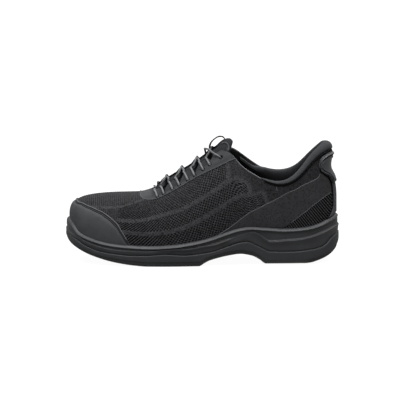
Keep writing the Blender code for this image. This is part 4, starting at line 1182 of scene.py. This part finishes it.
def build_upper(side, finish, lining):
    """Half of the knit upper as one closed wall: its outer face, rounded top edge and lining."""
    theta = on_side(side, spread_angles(0.0, math.pi, KNIT_STATIONS, knit_weight))[:, None]
    rows = np.concatenate([[-1.0, -0.5, -0.12], np.linspace(-0.03, 1.0, KNIT_ROWS)])
    theta, level = np.broadcast_arrays(theta, rows[None, :])
    points = upper_point(theta, level)
    normal = upper_normal(theta, level)
    hole, ribs, dense = knit_relief(theta, level, points[..., 0] / MM)
    out = punched(points, -HOLE_DEPTH * hole - RIB_DEPTH * ribs, [side])
    outer = points + out[..., None] * normal
    edge = upper_out(theta[:, :1], 1.006, -0.5 * WALL)
    back = np.array([1.0, 0.9, 0.75, 0.6, 0.45, 0.3, 0.15, 0.0, -0.5, -1.0])[None, :]
    inner = upper_out(theta[:, :1], back, -WALL)
    rings = np.concatenate([outer, edge, inner], 1)
    spare = rings.shape[1] - outer.shape[1]
    x = points[..., 0]
    # Painted shade: the knit above the hole row is painted near black where it shows between the tabs,
    # for the deep shadow under them.
    painted_shade_under_tabs = ramp(level, hole_level(x) + 0.01, hole_level(x) + 0.03)
    painted_shade_under_tabs = painted_shade_under_tabs * (x > FIRST_TAB_X - 6 * MM) * (x < EYELET_X - 6 * MM)
    # The hole mark: painted shade in the holes, the rib troughs and under the tabs, and the dense plain
    # knit's own darker tone.
    shade = np.max([hole, RIB_SHADE * ribs, DENSE_SHADE * dense, painted_shade_under_tabs], 0)
    shade = np.pad(shade, ((0, 0), (0, spare)))
    piece = show(f"knit_{side}", rings, finish, ["upper"], marks={"hole": shade}, sharp=80)
    line_inside(piece, lining)


def line_inside(piece, lining):
    """Gives the lining to the faces whose normals point towards the middle of the shoe."""
    piece.data.materials.append(lining)
    count = len(piece.data.polygons)
    normals = np.zeros(count * 3, np.float32)
    centres = np.zeros(count * 3, np.float32)
    piece.data.polygons.foreach_get("normal", normals)
    piece.data.polygons.foreach_get("center", centres)
    normals, centres = normals.reshape(-1, 3), centres.reshape(-1, 3)
    middle = np.stack([centres[:, 0] * 0.75, throat_line(centres[:, 0]), np.full(count, 0.055)], -1)
    towards = middle - centres
    inwards = np.einsum("ij,ij->i", normals, towards) > 0.2 * np.linalg.norm(towards, axis=1)
    piece.data.polygons.foreach_set("material_index", inwards.astype(np.int32))


def channels(from_edge):
    """1 in the middle of the guard's two stitched channels, 0 away from them."""
    return sum(bell(from_edge, place, CHANNEL_WIDTH) for place in GUARD_CHANNELS)


def build_toe_guard(finish, thread, piping):
    """Smooth guard over the toe with a piped upper edge and two stitched channels inside it."""
    reach = float(ring_angle(TOE_GUARD_EDGE[-1][0]))
    theta = np.linspace(-reach, reach, 260)
    low = np.full(theta.shape, 0.002)
    high = no_overshoot(TOE_GUARD_EDGE, theta)

    def skived(far):
        """The guard thins towards its upper edge and dips in the stitched channels."""
        return -0.6 * (1 - ramp(far, 3, 10)) - 0.6 * channels(far)

    rings, far = overlay(theta, low, high, GUARD_LIFT, 90, skived)
    # Painted shade: the guard is painted near black along its two stitched channels.
    marks = {"painted_shade_and_dark_tone": np.minimum(channels(far), 1)}
    show("toe_guard_cover", rings, finish, ["toe_guard"], marks=marks)
    inner = np.linspace(-0.97 * reach, 0.97 * reach, 300)
    edge = no_overshoot(TOE_GUARD_EDGE, inner)
    length = level_length(inner) / MM
    # The piping is lighter than the guard: a painted highlight along the guard's raised edge.
    show_cord("guard_piping", inner, edge - 0.4 / length, 0.5 * MM, piping, "toe_guard")
    stitches = [stitch_row(inner, edge - far / length, 0.1 * MM) for far in GUARD_CHANNELS]
    show("guard_stitches", np.concatenate(stitches), thread, capped=False)


def eyestay_span():
    """Ring angles at the top edge all round the throat, with the band's lower and upper level there.

    Lines across the band turn back with the level, so the lower level on each is found by repetition.
    """
    angles, levels = eyestay_edge()
    half = np.unique(np.concatenate([np.linspace(0, angles[-1], 330), angles]))
    start = np.concatenate([-half[:0:-1], half])
    low = np.full(start.shape, 0.8)
    for _ in range(8):
        low = no_overshoot(EYESTAY_EDGE, throat_turn(start, low))
    return start, low, np.interp(np.abs(start), angles, levels)


def build_eyestay(finish, piping):
    """Horseshoe band round the throat: finger tabs, punched lace holes and a fine piped outer edge.

    The band thins towards the toe and its outer edge; its holes are painted dark, a painted shade, and
    its tabs darker.
    """
    start, low, high = (values[:, None] for values in eyestay_span())
    share = crowded(44, 0.6)[None, :]
    level = low * (1 - share) + high * share
    theta = throat_turn(start, level)
    points = upper_point(theta, level)
    x = points[..., 0]
    run = run_along(points[:, EYESTAY_RUN_ROW])
    length = level_length(start)
    edge = np.minimum(level - low, high - level) * length
    edge = np.minimum(edge, np.minimum(run, run[-1] - run)[:, None])
    inside = np.clip(edge / EDGE_ROUND, 0, 1)
    lift = np.interp(x, EYESTAY_RISES_X, (EYESTAY_TOE_LIFT, EYESTAY_LIFT))
    thick = ramp((level - low) * length, 1 * MM, 7 * MM)
    lift = lift * (EYESTAY_THIN_SHARE + (1 - EYESTAY_THIN_SHARE) * thick)
    out = punched(points, (lift + SUNK) * quarter_round(inside) - SUNK, SIDES)
    outer = points + out[..., None] * upper_normal(theta, level)
    back = np.linspace(1, 0, UNDER_ROWS)[None, :]
    under_level = low * (1 - back) + high * back
    under = upper_out(throat_turn(start, under_level), under_level, -3 * SUNK)
    rings = np.concatenate([outer, under], 1)
    # Painted shade: each lace hole's pit is painted near black inside.
    painted_hole_shade = np.clip(-punched(points, np.zeros(level.shape), SIDES) / MM - 1, 0, 1)
    tabs = TABS_SHADE * ramp(level - hole_level(x), 0.0, 0.04) * ramp(x, *TABS_FROM_X) * (x < TABS_TO_X)
    marks = {"painted_shade_and_dark_tone": np.pad(np.maximum(painted_hole_shade, tabs), ((0, 0), (0, UNDER_ROWS)))}
    show("eyestay_band", rings, finish, ["eyestay"], marks=marks)
    line = throat_turn(start, low)[:, 0]
    piped = lift[:, EYESTAY_PIPED_ROW] - 0.1 * MM
    show_cord("eyestay_piping", line, low[:, 0] + 0.008, piped, piping, "eyestay")


def build_counters(finish, piping, ribbing):
    """Plain band on each side of the heel, piped along both edges, and the ribbed window under it.

    The upper piping ends at the heel tab; the lower one starts where the band leaves the sole.
    """
    span = np.linspace(ring_angle(COUNTER_TOP[0][0]), ring_angle(COUNTER_TOP[-1][0]), 170)
    low = no_overshoot(COUNTER_LOW, span)
    high = no_overshoot(COUNTER_TOP, span)
    before_tab = span < ring_angle(COUNTER_MEETS_TAB)
    off_sole = span > ring_angle(COUNTER_OFF_SOLE)
    for side in SIDES:
        theta = on_side(side, span)
        rings, _ = overlay(theta, low, high, COUNTER_LIFT, 34)
        show(f"counter_panel_{side}", rings, finish, [f"counter_{side}"])
        for name, edge, shown in (("upper", high, before_tab), ("lower", low, off_sole)):
            line = theta[shown], edge[shown], 0.6 * COUNTER_LIFT
            show_cord("counter_piping", *line, piping, "counter", f"_{name}_{side}")
        build_window(side, ribbing)


def build_window(side, ribbing):
    """Ribbed patch behind the counter: ribs square to its slanting upper edge, under the band's edge."""
    span = np.linspace(ring_angle(WINDOW_START), WINDOW_END_ANGLE, 150)
    high = no_overshoot(COUNTER_LOW, span) + 0.02
    theta = on_side(side, span)[:, None]
    share = np.linspace(0, 1, 60)[None, :]
    level = WINDOW_FOOT * (1 - share) + high[:, None] * share
    grid = np.broadcast_to(theta, level.shape)
    points = upper_point(grid, level)
    along_slant = (points[..., 0] * WINDOW_SLANT[0] + points[..., 2] * WINDOW_SLANT[1]) / MM
    crest = ramp(np.cos(FULL_TURN * along_slant / WINDOW_RIB_PITCH), 0.55, 1.0)
    outer = points + (WINDOW_RIB_DEPTH * crest + 0.05 * MM)[..., None] * upper_normal(grid, level)
    under = upper_out(theta, high[:, None] * np.linspace(1, 0, 3)[None, :] + WINDOW_FOOT, -SUNK)
    rings = np.concatenate([outer, under], 1)
    # The crest mark paints the rib tops lighter and the troughs near black: painted highlight and
    # painted shade.
    marks = {"crest": np.pad(crest, ((0, 0), (0, under.shape[1])))}
    show(f"heel_window_{side}", rings, ribbing, marks=marks)


def build_backstay(finish, seam):
    """Strip down the back seam, from under the heel tab to the sole, with a raised middle."""
    level, half = np.array(BACKSTAY_STRIP).T
    rows = np.linspace(level[0], level[-1], 60)
    width = np.interp(rows, level, half)
    share = crowded(41)[None, :] * 2 - 1
    theta = math.pi + width[:, None] * share
    inside = np.clip((1 - np.abs(share)) / 0.12, 0, 1)
    ends = np.clip(np.minimum(rows - rows[0], rows[-1] - rows) / 0.02, 0, 1)[:, None]
    round_off = quarter_round(inside) * quarter_round(ends)
    lift = BACKSTAY_LIFT + 1.6 * MM * ramp(rows, 0.1, 0.45)[:, None]
    out = (lift + SUNK) * round_off - SUNK + 0.5 * MM * bell(share, 0, 0.12) * ends
    outer = upper_out(theta, rows[:, None], out)
    under = upper_out(theta[:, ::-10], rows[:, None], -2 * SUNK)
    show("back_strip", np.concatenate([outer, under], 1), finish, ["backstay"])
    # Near-black cords beside the strip: painted shade in its seam gaps.
    for side in SIDES:
        line = on_side(side, math.pi - (width + 0.006))
        show_cord("back_seam_gap_shade", line, rows, 1.2 * MM, seam, "backstay", f"_{side}")


def build_heel_tab(finish, seam):
    """Moulded tab round the back of the collar: hollowed middle, upper edge standing out as a lip."""
    reach = math.pi - float(ring_angle(HEEL_TAB_BAND[0][0]))
    theta = np.linspace(math.pi - reach, math.pi + reach, 150)
    low, high = (no_overshoot(HEEL_TAB_BAND, theta, of) for of in (1, 2))

    def lip(from_high):
        """Two rolls along the upper edge, a hollow below them and a swell towards the lower edge."""
        rolls = 1.5 * bell(from_high, 1.2, 1.1) + bell(from_high, 4.6, 1.1)
        return rolls - 0.9 * bell(from_high, 12, 6) + 3.4 * ramp(from_high, 15, 28)

    rings, _ = overlay(theta, low, high, HEEL_TAB_LIFT, 72, lip)
    show("heel_tab_moulding", rings, finish, ["heel_tab"])
    length = level_length(theta)
    # Near-black cords in the tab's two grooves and below its lower edge: painted shade.
    broad = (high - low) * length > 9 * MM
    for name, groove in (("upper", high - 2.9 * MM / length), ("lower", low + 2.8 * MM / length)):
        height = HEEL_TAB_LIFT + lip((high - groove) * length / MM) * MM
        line = theta[broad], groove[broad], height[broad]
        show_cord("heel_tab_groove_shade", *line, seam, "heel_tab", f"_{name}")
    edge = np.concatenate([low[::-1], high])
    line = np.concatenate([theta[::-1], theta])
    show_cord("heel_tab_piping", line, edge, 0.6 * MM, finish, "heel_tab")
    show_cord("heel_tab_seam_gap_shade", theta, low - 0.014, 1.2 * MM, seam, "heel_tab")


# Collar, tongue and loop


def build_collar(finish, piping, seam):
    """Padded roll round the collar: a closed smooth section through points round the upper's edge.

    Where its stand is negative the pad lies inside the wall; its lower inner face is painted darker, a
    painted shade.
    """
    half = np.linspace(ring_angle(CUFF[0][0]), math.pi, 110)
    theta = np.concatenate([half, FULL_TURN - half[-2::-1]])
    stand, pad, depth = (no_overshoot(CUFF, theta, of) * MM for of in (1, 2, 3))
    upward = upper_point(theta, 1.0) - upper_point(theta, 1.0 - LEVEL_STEP)
    speed = np.linalg.norm(upward, axis=-1) / LEVEL_STEP
    upward = unit(upward)
    outward = upper_normal(theta, np.ones(theta.shape))
    low = 1.0 - depth / speed
    half_way = 1.0 - 0.5 * depth / speed
    back = WALL + GAP
    edge = upper_point(theta, 1.0)
    inside = 1 - ramp(stand, -2.0 * MM, 1.0 * MM)

    def from_edge(out, share, drop, up):
        """Point out from the upper's edge, at a share of the roll's stand or drop below it, if lower."""
        out = np.minimum(out, 1.0 * MM * (1 - inside) - back * inside)
        height = np.minimum(share * stand, stand - drop) + up
        return edge + outward * out[:, None] + upward * height[:, None]

    sections = [
        upper_out(theta, low, -back),
        upper_out(theta, half_way, -back),
        from_edge(-back, 0.0, 0.8 * MM, -0.2 * MM),
        from_edge(-0.9 * MM, 0.1, 0.0, 0.3 * MM),
        from_edge(0.5 * MM - 0.02 * pad, 0.42, 0.0, GAP),
        from_edge(-0.18 * pad - 0.5 * inside * pad, 0.86, 0.0, GAP),
        from_edge(-0.5 * pad - (0.3 + 0.7 * inside) * back, 1.0, 0.0, GAP),
        from_edge(-0.85 * pad - 0.8 * back, 0.80, 0.1 * pad, GAP),
        from_edge(-pad - back, 0.2, 0.25 * pad, -0.1 * depth),
        upper_out(theta, half_way, -back - 0.9 * pad),
        upper_out(theta, low, -back - 0.25 * pad - 0.6 * MM),
    ]
    rings = smooth(np.stack(sections), COLLAR_PER_SPAN, closed=True).swapaxes(0, 1)
    place = np.arange(rings.shape[1])[None, :] / COLLAR_PER_SPAN
    # Painted shade: the roll's lower inner face, deep inside the collar, is painted darker.
    marks = {"painted_shade_and_dark_tone": np.broadcast_to(0.75 * ramp(place, 6.4, 8.6), rings.shape[:2])}
    roll = show("collar_roll", rings, finish, ["collar_cuff"], marks=marks)
    front = np.linspace(*ring_angle(COLLAR_PIPED), 80)
    tack = np.full(24, ring_angle(COLLAR_TACK))
    up_tack = np.linspace(*TACK_LEVELS, 24)
    for side in SIDES:
        tail = f"_{side}"
        show_cord("collar_piping", on_side(side, front), 1.0, -0.7 * MM, piping, "collar_cuff", tail)
        show_cord("collar_tack", on_side(side, tack), up_tack, 0.1 * MM, piping, "collar_cuff", tail)
    # A near-black cord along the collar's seam: painted shade in the seam's groove.
    line = np.linspace(*[on_side(side, ring_angle(COLLAR_SEAM_START)) for side in SIDES], 200)
    show_cord("collar_seam_gap_shade", line, 0.998, 0.35 * MM, seam, "collar_cuff")


def tongue_row(along, bulge):
    """Across the throat: under the lateral eyestay, over the gap in a parabola, under the medial one."""
    theta = float(ring_angle(along))
    levels = np.array(TONGUE_SIDE_LEVELS)
    lateral = upper_out(theta, levels, -WALL - 2.5 * GAP)
    medial = upper_out(FULL_TURN - theta, levels, -WALL - 2.5 * GAP)
    share = np.array(TONGUE_ACROSS)[:, None]
    arch = lateral[-1] * (1 - share) + medial[-1] * share
    arch[:, 2] += bulge * MM * 4 * (share * (1 - share))[:, 0]
    return np.concatenate([lateral, arch, medial[::-1]])


def tongue_faces():
    """Outer and inner face of the tongue, rows from its tucked foot to its rounded top."""
    rows = [tongue_row(along, bulge) for along, bulge, _ in TONGUE]
    thick = [row[2] for row in TONGUE]
    tucked = rows[0] + np.array([TONGUE_TUCK[0], 0, TONGUE_TUCK[1]]) * MM
    last_row = rows[-1]
    middle = last_row.mean(0)
    for back, up, narrow, deep in TONGUE_TOP:
        row = last_row.copy()
        row[:, 1] = middle[1] + (row[:, 1] - middle[1]) * narrow
        row[:, 2] = row[:, 2].max() + (row[:, 2] - row[:, 2].max()) * narrow**1.5
        from_top = np.abs(np.linspace(-1, 1, len(row)))
        row[:, 0] += back * MM * (1 - 0.75 * from_top**2)
        row[:, 2] += up * MM
        rows.append(row)
        thick.append(deep)
    outer = np.stack([tucked] + rows)
    depth = np.array([thick[0]] + thick) * MM
    places = np.arange(outer.shape[1])
    side_taper = np.minimum(1.0, 0.25 + 0.18 * np.minimum(places, places[::-1]))
    normal = unit(np.cross(np.gradient(outer, axis=0), np.gradient(outer, axis=1)))
    return outer, outer - normal * (depth[:, None] * side_taper)[..., None]


def build_tongue(finish, binding):
    """Padded tongue: closed smooth sections through its two faces, a bound top edge and a side seam.

    The seam's side view is laid on each flank by the nearest point of the pad, evened out along it.
    """
    outer, inner = tongue_faces()
    rings = np.concatenate([outer, inner[:, ::-1]], 1)
    lip = 0.5 * (rings[-1] + rings[-1][::-1])
    rings = np.concatenate([rings, lip[None]])
    rings = smooth(rings, TONGUE_PER_ROW)
    rings = smooth(rings.swapaxes(0, 1), TONGUE_PER_PLACE, closed=True).swapaxes(0, 1)
    places = np.arange(rings.shape[1]) / TONGUE_PER_PLACE
    middle = (outer.shape[1] - 1) / 2
    from_middle = np.abs(places - middle)
    # Painted shade: the tongue is painted near black along its ridge, on its flanks under the eyestays
    # and between the tabs under the crossing laces; its free top is left plain.
    painted_shade_ridge_and_flanks = 1 - ramp(from_middle, 0.9, 1.15) + ramp(from_middle, 1.7, 2.2)
    from_notch = np.abs(rings[..., 0, None] / MM - np.array(TONGUE_NOTCHES)).min(-1)
    dark = np.maximum(painted_shade_ridge_and_flanks[None, :], 1 - ramp(from_notch, 2.0, 3.6))
    free = ramp(np.arange(len(rings)) / TONGUE_PER_ROW, len(TONGUE) - 2.0, len(TONGUE) - 1.0)
    marks = {"painted_shade_and_dark_tone": np.clip(dark * (1 - free[:, None]), 0, 1)}
    pad = show("tongue_pad", rings, finish, ["tongue"], marks=marks, sharp=80)
    edge = smooth(0.5 * (outer[-1] + inner[-1])[1:-1], 8)
    show("tongue_edge_binding", tube(edge, TONGUE_BINDING_RADIUS, (0.3, 0.0, 1.0)), binding)
    half = int(middle * TONGUE_PER_PLACE)
    x, z = (smooth(np.array(TONGUE_SEAM), 8) * MM).T
    for side, flank in zip(SIDES, (rings[:, :half], rings[:, half : 2 * half])):
        flank = flank.reshape(-1, 3)
        nearest = np.hypot(flank[:, 0] - x[:, None], flank[:, 2] - z[:, None]).argmin(1)
        y = np.convolve(np.pad(flank[nearest, 1], 4, "edge"), np.full(9, 1 / 9), "valid")
        seam = tube(np.stack([x, y, z], -1), TONGUE_SEAM_RADIUS, (0.0, 1.0, 0.0))
        show(f"tongue_seam_{side}", seam, binding)


def build_tongue_loop(finish):
    """Narrow ribbon bent into a loop in front of the tongue's top: a flat rounded section on a curve."""
    x, z = (smooth(np.array(LOOP_PATH), 6) * MM).T
    path = np.stack([x, throat_line(x), z], -1)
    heading = unit(np.gradient(path, axis=0))
    out = np.stack([-heading[:, 2], np.zeros(len(path)), heading[:, 0]], -1)
    turn = np.linspace(0, FULL_TURN, 24, endpoint=False)
    wide = np.sign(np.cos(turn)) * np.abs(np.cos(turn)) ** 0.4 * LOOP_WIDTH / 2
    deep = np.sign(np.sin(turn)) * np.abs(np.sin(turn)) ** 0.6 * LOOP_THICKNESS / 2 + LOOP_THICKNESS / 2
    doubled = 1 + 1.2 * (1 - ramp(np.linspace(0, 1, len(path)), 0.2, 0.5))
    deep = doubled[:, None, None] * deep[None, :, None]
    rings = path[:, None] + wide[None, :, None] * np.array([0, 1, 0]) + deep * out[:, None]
    show("pull_loop", rings, finish, ["tongue_loop"])


# Laces


def on_tab(x, level, out, side):
    """Point above the upper at a place along the shoe and a level, on one side."""
    theta = float(throat_angle(x, level))
    return upper_out(on_side(side, theta), level, out)


def lace_side(x, side):
    """Points of a strand on one side: out of its hole, straight across its tab and over the end."""
    hole = float(hole_level(x))
    clear = EYESTAY_LIFT + 0.42 * LACE_DIAMETER
    run = [(0.0, -1.8 * MM), (0.02, 0.6 * clear), (0.25, clear), (0.75, clear), (1.03, clear - 0.3 * MM)]
    return np.stack(
        [on_tab(x - t * TAB_LEAN, hole + t * (TAB_TOP - hole), out, side) for t, out in run]
    )


def eyelet_side(side):
    """Points of a strand that comes out of a top eyelet and turns straight to the other side."""
    places = [(-0.6, -2.0 * MM), (-1.5, 1.0 * MM), (-2.9, EYESTAY_LIFT + 0.5 * LACE_DIAMETER)]
    return np.stack(
        [on_tab(EYELET_X + x * MM, EYELET_LEVEL - 0.012 * x, out, side) for x, out in places]
    )


def tongue_height(points):
    """Height of the tongue's arch at places across the throat, read between its rows."""
    rows = np.stack([tongue_row(along, 0.0) for along, _, _ in TONGUE])
    near, far = rows[:, 2], rows[:, -3]
    bulges = [bulge * MM for _, bulge, _ in TONGUE]
    columns = (near[:, 1], far[:, 1], near[:, 2], far[:, 2], bulges)
    read = [np.interp(points[:, 0], near[:, 0], column) for column in columns]
    near_y, far_y, near_z, far_z, bulge = read
    share = np.clip((points[:, 1] - near_y) / (far_y - near_y), 0, 1)
    return near_z * (1 - share) + far_z * share + 4 * bulge * share * (1 - share)


def lace_points(lateral, medial, bridge):
    """Path of one strand from a lateral run over the tongue to a medial one.

    bridge has a row for each point between them: share of the way across, share along, lift above the
    straight line (never below the tongue) and step over the other strand.
    """
    across, along, lift, step = np.array(bridge).T
    points = lateral[-1] + (medial[-1] - lateral[-1]) * np.stack([along, across, across], -1)
    points[:, 2] = np.maximum(points[:, 2] + lift, tongue_height(points) + 0.45 * LACE_DIAMETER) + step
    return np.concatenate([lateral, points, medial[::-1]])


def arched(height, step, bend=1.0):
    """Bridge of a strand: a parabola, stepped at the other strand; along is across to a power."""
    across = np.linspace(0, 1, 12)[1:-1]
    lift = 4 * height * across * (1 - across)
    return np.stack([across, across**bend, lift, step * bell(across, 0.5, 0.15)], -1)


def show_lace(name, points, finish, nodes):
    """Round braided cord: a circle with a fine diamond relief, two sets of helices crossing."""
    path = evenly(smooth(points, 10), BRAID_STEP * MM)
    turn = np.linspace(0, FULL_TURN, 20, endpoint=False)[None, :]
    run = (np.arange(len(path)) * BRAID_STEP / BRAID_PITCH * FULL_TURN)[:, None]
    braid = 0.5 + 0.5 * np.cos(3 * turn + run) * np.cos(3 * turn - run)
    rings = tube(path, LACE_DIAMETER / 2 * (0.86 + 0.1 * braid), (0.0, 0.0, 1.0), 20)
    # The braid mark also paints the lace: crests lighter, a painted glint, and hollows darker, a painted
    # shade.
    show(name, rings, finish, nodes, marks={"braid": braid})


def build_laces(finish):
    """A straight bar at the foot of the throat, then two crossing strands from tab to tab and eyelet."""
    tabs = FIRST_TAB_X + TAB_PITCH * np.arange(TAB_COUNT)
    first = tabs[0] - HOLE_HALF_GAP
    bar = lace_points(lace_side(first, "lateral"), lace_side(first, "medial"), arched(BAR_LIFT, 0.0))
    show_lace("lace_bar_cord", bar, finish, ["lace_bar"])
    for number, height in enumerate(CROSS_LIFTS, 1):
        low = tabs[number - 1] + HOLE_HALF_GAP
        high = tabs[number] - HOLE_HALF_GAP
        strands = (("over", low, high, CROSS_STEP, 0.5), ("under", high, low, 0.0, 1.8))
        for name, lateral, medial, step, bend in strands:
            bridge = arched(height * MM, step, bend)
            path = lace_points(lace_side(lateral, "lateral"), lace_side(medial, "medial"), bridge)
            show_lace(f"lace_{number}_{name}", path, finish, [f"lace_cross_{number}"])
    last = tabs[-1] + HOLE_HALF_GAP
    under, over = (np.pad(rows, ((0, 0), (0, 1))) * (1, 1, MM, 1) for rows in (TOP_UNDER, TOP_OVER))
    rising = lace_points(lace_side(last, "lateral"), eyelet_side("medial"), under)
    falling = lace_points(eyelet_side("lateral"), lace_side(last, "medial"), over)
    show_lace("lace_4_under", rising, finish, ["lace_cross_4"])
    show_lace("lace_4_over", falling, finish, ["lace_cross_4"])


# Stage


def build_stage():
    """White floor and surroundings, a broad soft light overhead, a weaker one behind, and the camera.

    The floor glows for the camera alone: its light doesn't reach the shoe, whose flanks stay dark.
    """
    corners = np.array([[-1, -1, 0], [1, -1, 0], [1, 1, 0], [-1, 1, 0]], float) * FLOOR_HALF
    mesh = bpy.data.meshes.new("studio_floor")
    mesh.from_pydata(corners.tolist(), [], [(0, 1, 2, 3)])
    mesh.materials.append(studio_white())
    floor = bpy.data.objects.new("studio_floor", mesh)
    bpy.context.scene.collection.objects.link(floor)
    floor.visible_diffuse = False
    floor.visible_glossy = False

    world = bpy.data.worlds.new("studio")
    world.use_nodes = True
    background = world.node_tree.nodes["Background"]
    background.inputs["Color"].default_value = colour("#ffffff")
    background.inputs["Strength"].default_value = SURROUND_STRENGTH
    bpy.context.scene.world = world
    bpy.context.scene.view_settings.view_transform = "Standard"

    for name, strength, spread, tilt, turn in LIGHTS:
        lamp = bpy.data.lights.new(name, "SUN")
        lamp.energy = strength
        lamp.angle = math.radians(spread)
        light = bpy.data.objects.new(name, lamp)
        light.rotation_euler = (math.radians(tilt), 0, math.radians(turn))
        bpy.context.scene.collection.objects.link(light)

    lens = bpy.data.cameras.new("photo_camera")
    lens.sensor_width = SENSOR_WIDTH
    lens.lens = SENSOR_WIDTH * CAMERA_DISTANCE / VIEW_WIDTH
    lens.clip_end = 100
    camera = bpy.data.objects.new("photo_camera", lens)
    sine, cosine = math.sin(CAMERA_ELEVATION), math.cos(CAMERA_ELEVATION)
    camera.location = (
        AIM_RIGHT,
        AIM_UP * sine - CAMERA_DISTANCE * cosine,
        AIM_UP * cosine + CAMERA_DISTANCE * sine,
    )
    camera.rotation_euler = (math.pi / 2 - CAMERA_ELEVATION, 0, 0)
    bpy.context.scene.collection.objects.link(camera)
    bpy.context.scene.camera = camera


def build_shoe():
    """All pieces of the shoe, each with its finish, from the sole upwards."""
    knit = knit_polyester()
    lining = spacer_lining()
    guard = coated_microfibre("coated_microfibre_guard", "#3c3d3f", "#424345", 0.55, 0.1)
    film = coated_microfibre("bonded_film_eyestay", "#353638", "#3c3d3f", 0.6, 0.06)
    suede = coated_microfibre("matt_microfibre_counter", "#2e2e30", "#343436", 0.8, 0.12, 0.6)
    satin = coated_microfibre("satin_tpu_heel_tab", "#38393b", "#3e3f41", 0.38, 0.35)
    thread = woven_tape("sewing_thread", "#0e0e0f", "#1a1a1b", 0.05)
    # Near-black cords laid in seam gaps and grooves: painted shade.
    seam = woven_tape("painted_shade_cord", "#060607", "#0c0c0d", 0.02)
    piping = woven_tape("edge_piping", "#48494b", "#606164")
    build_midsole(moulded_rubber("moulded_polyurethane_midsole", "#2f3032", "#37383a", 0.42))
    build_outsole(moulded_rubber("nitrile_rubber_outsole", "#2a2b2d", "#303133", 0.5))
    build_insole(padded_textile("footbed_textile", "#1b1b1c", "#232324"))
    for side in SIDES:
        build_upper(side, knit, lining)
    build_toe_guard(guard, thread, piping)
    build_eyestay(film, woven_tape("eyestay_piping", "#3f4042", "#505154"))
    build_counters(suede, piping, ribbed_rubber())
    build_backstay(coated_microfibre("bonded_film_backstay", "#454648", "#4c4d4f", 0.6, 0.06), seam)
    build_heel_tab(satin, seam)
    build_collar(padded_textile("collar_tricot", "#303133", "#393a3c"), piping, seam)
    binding = woven_tape("tongue_binding", "#303133", "#434447")
    build_tongue(padded_textile("tongue_tricot", "#2a2b2d", "#303133", 0.0), binding)
    build_tongue_loop(woven_tape("loop_tape", "#0e0e0f", "#19191b", 0.1))
    build_laces(braided_polyester())


build_stage()
build_shoe()
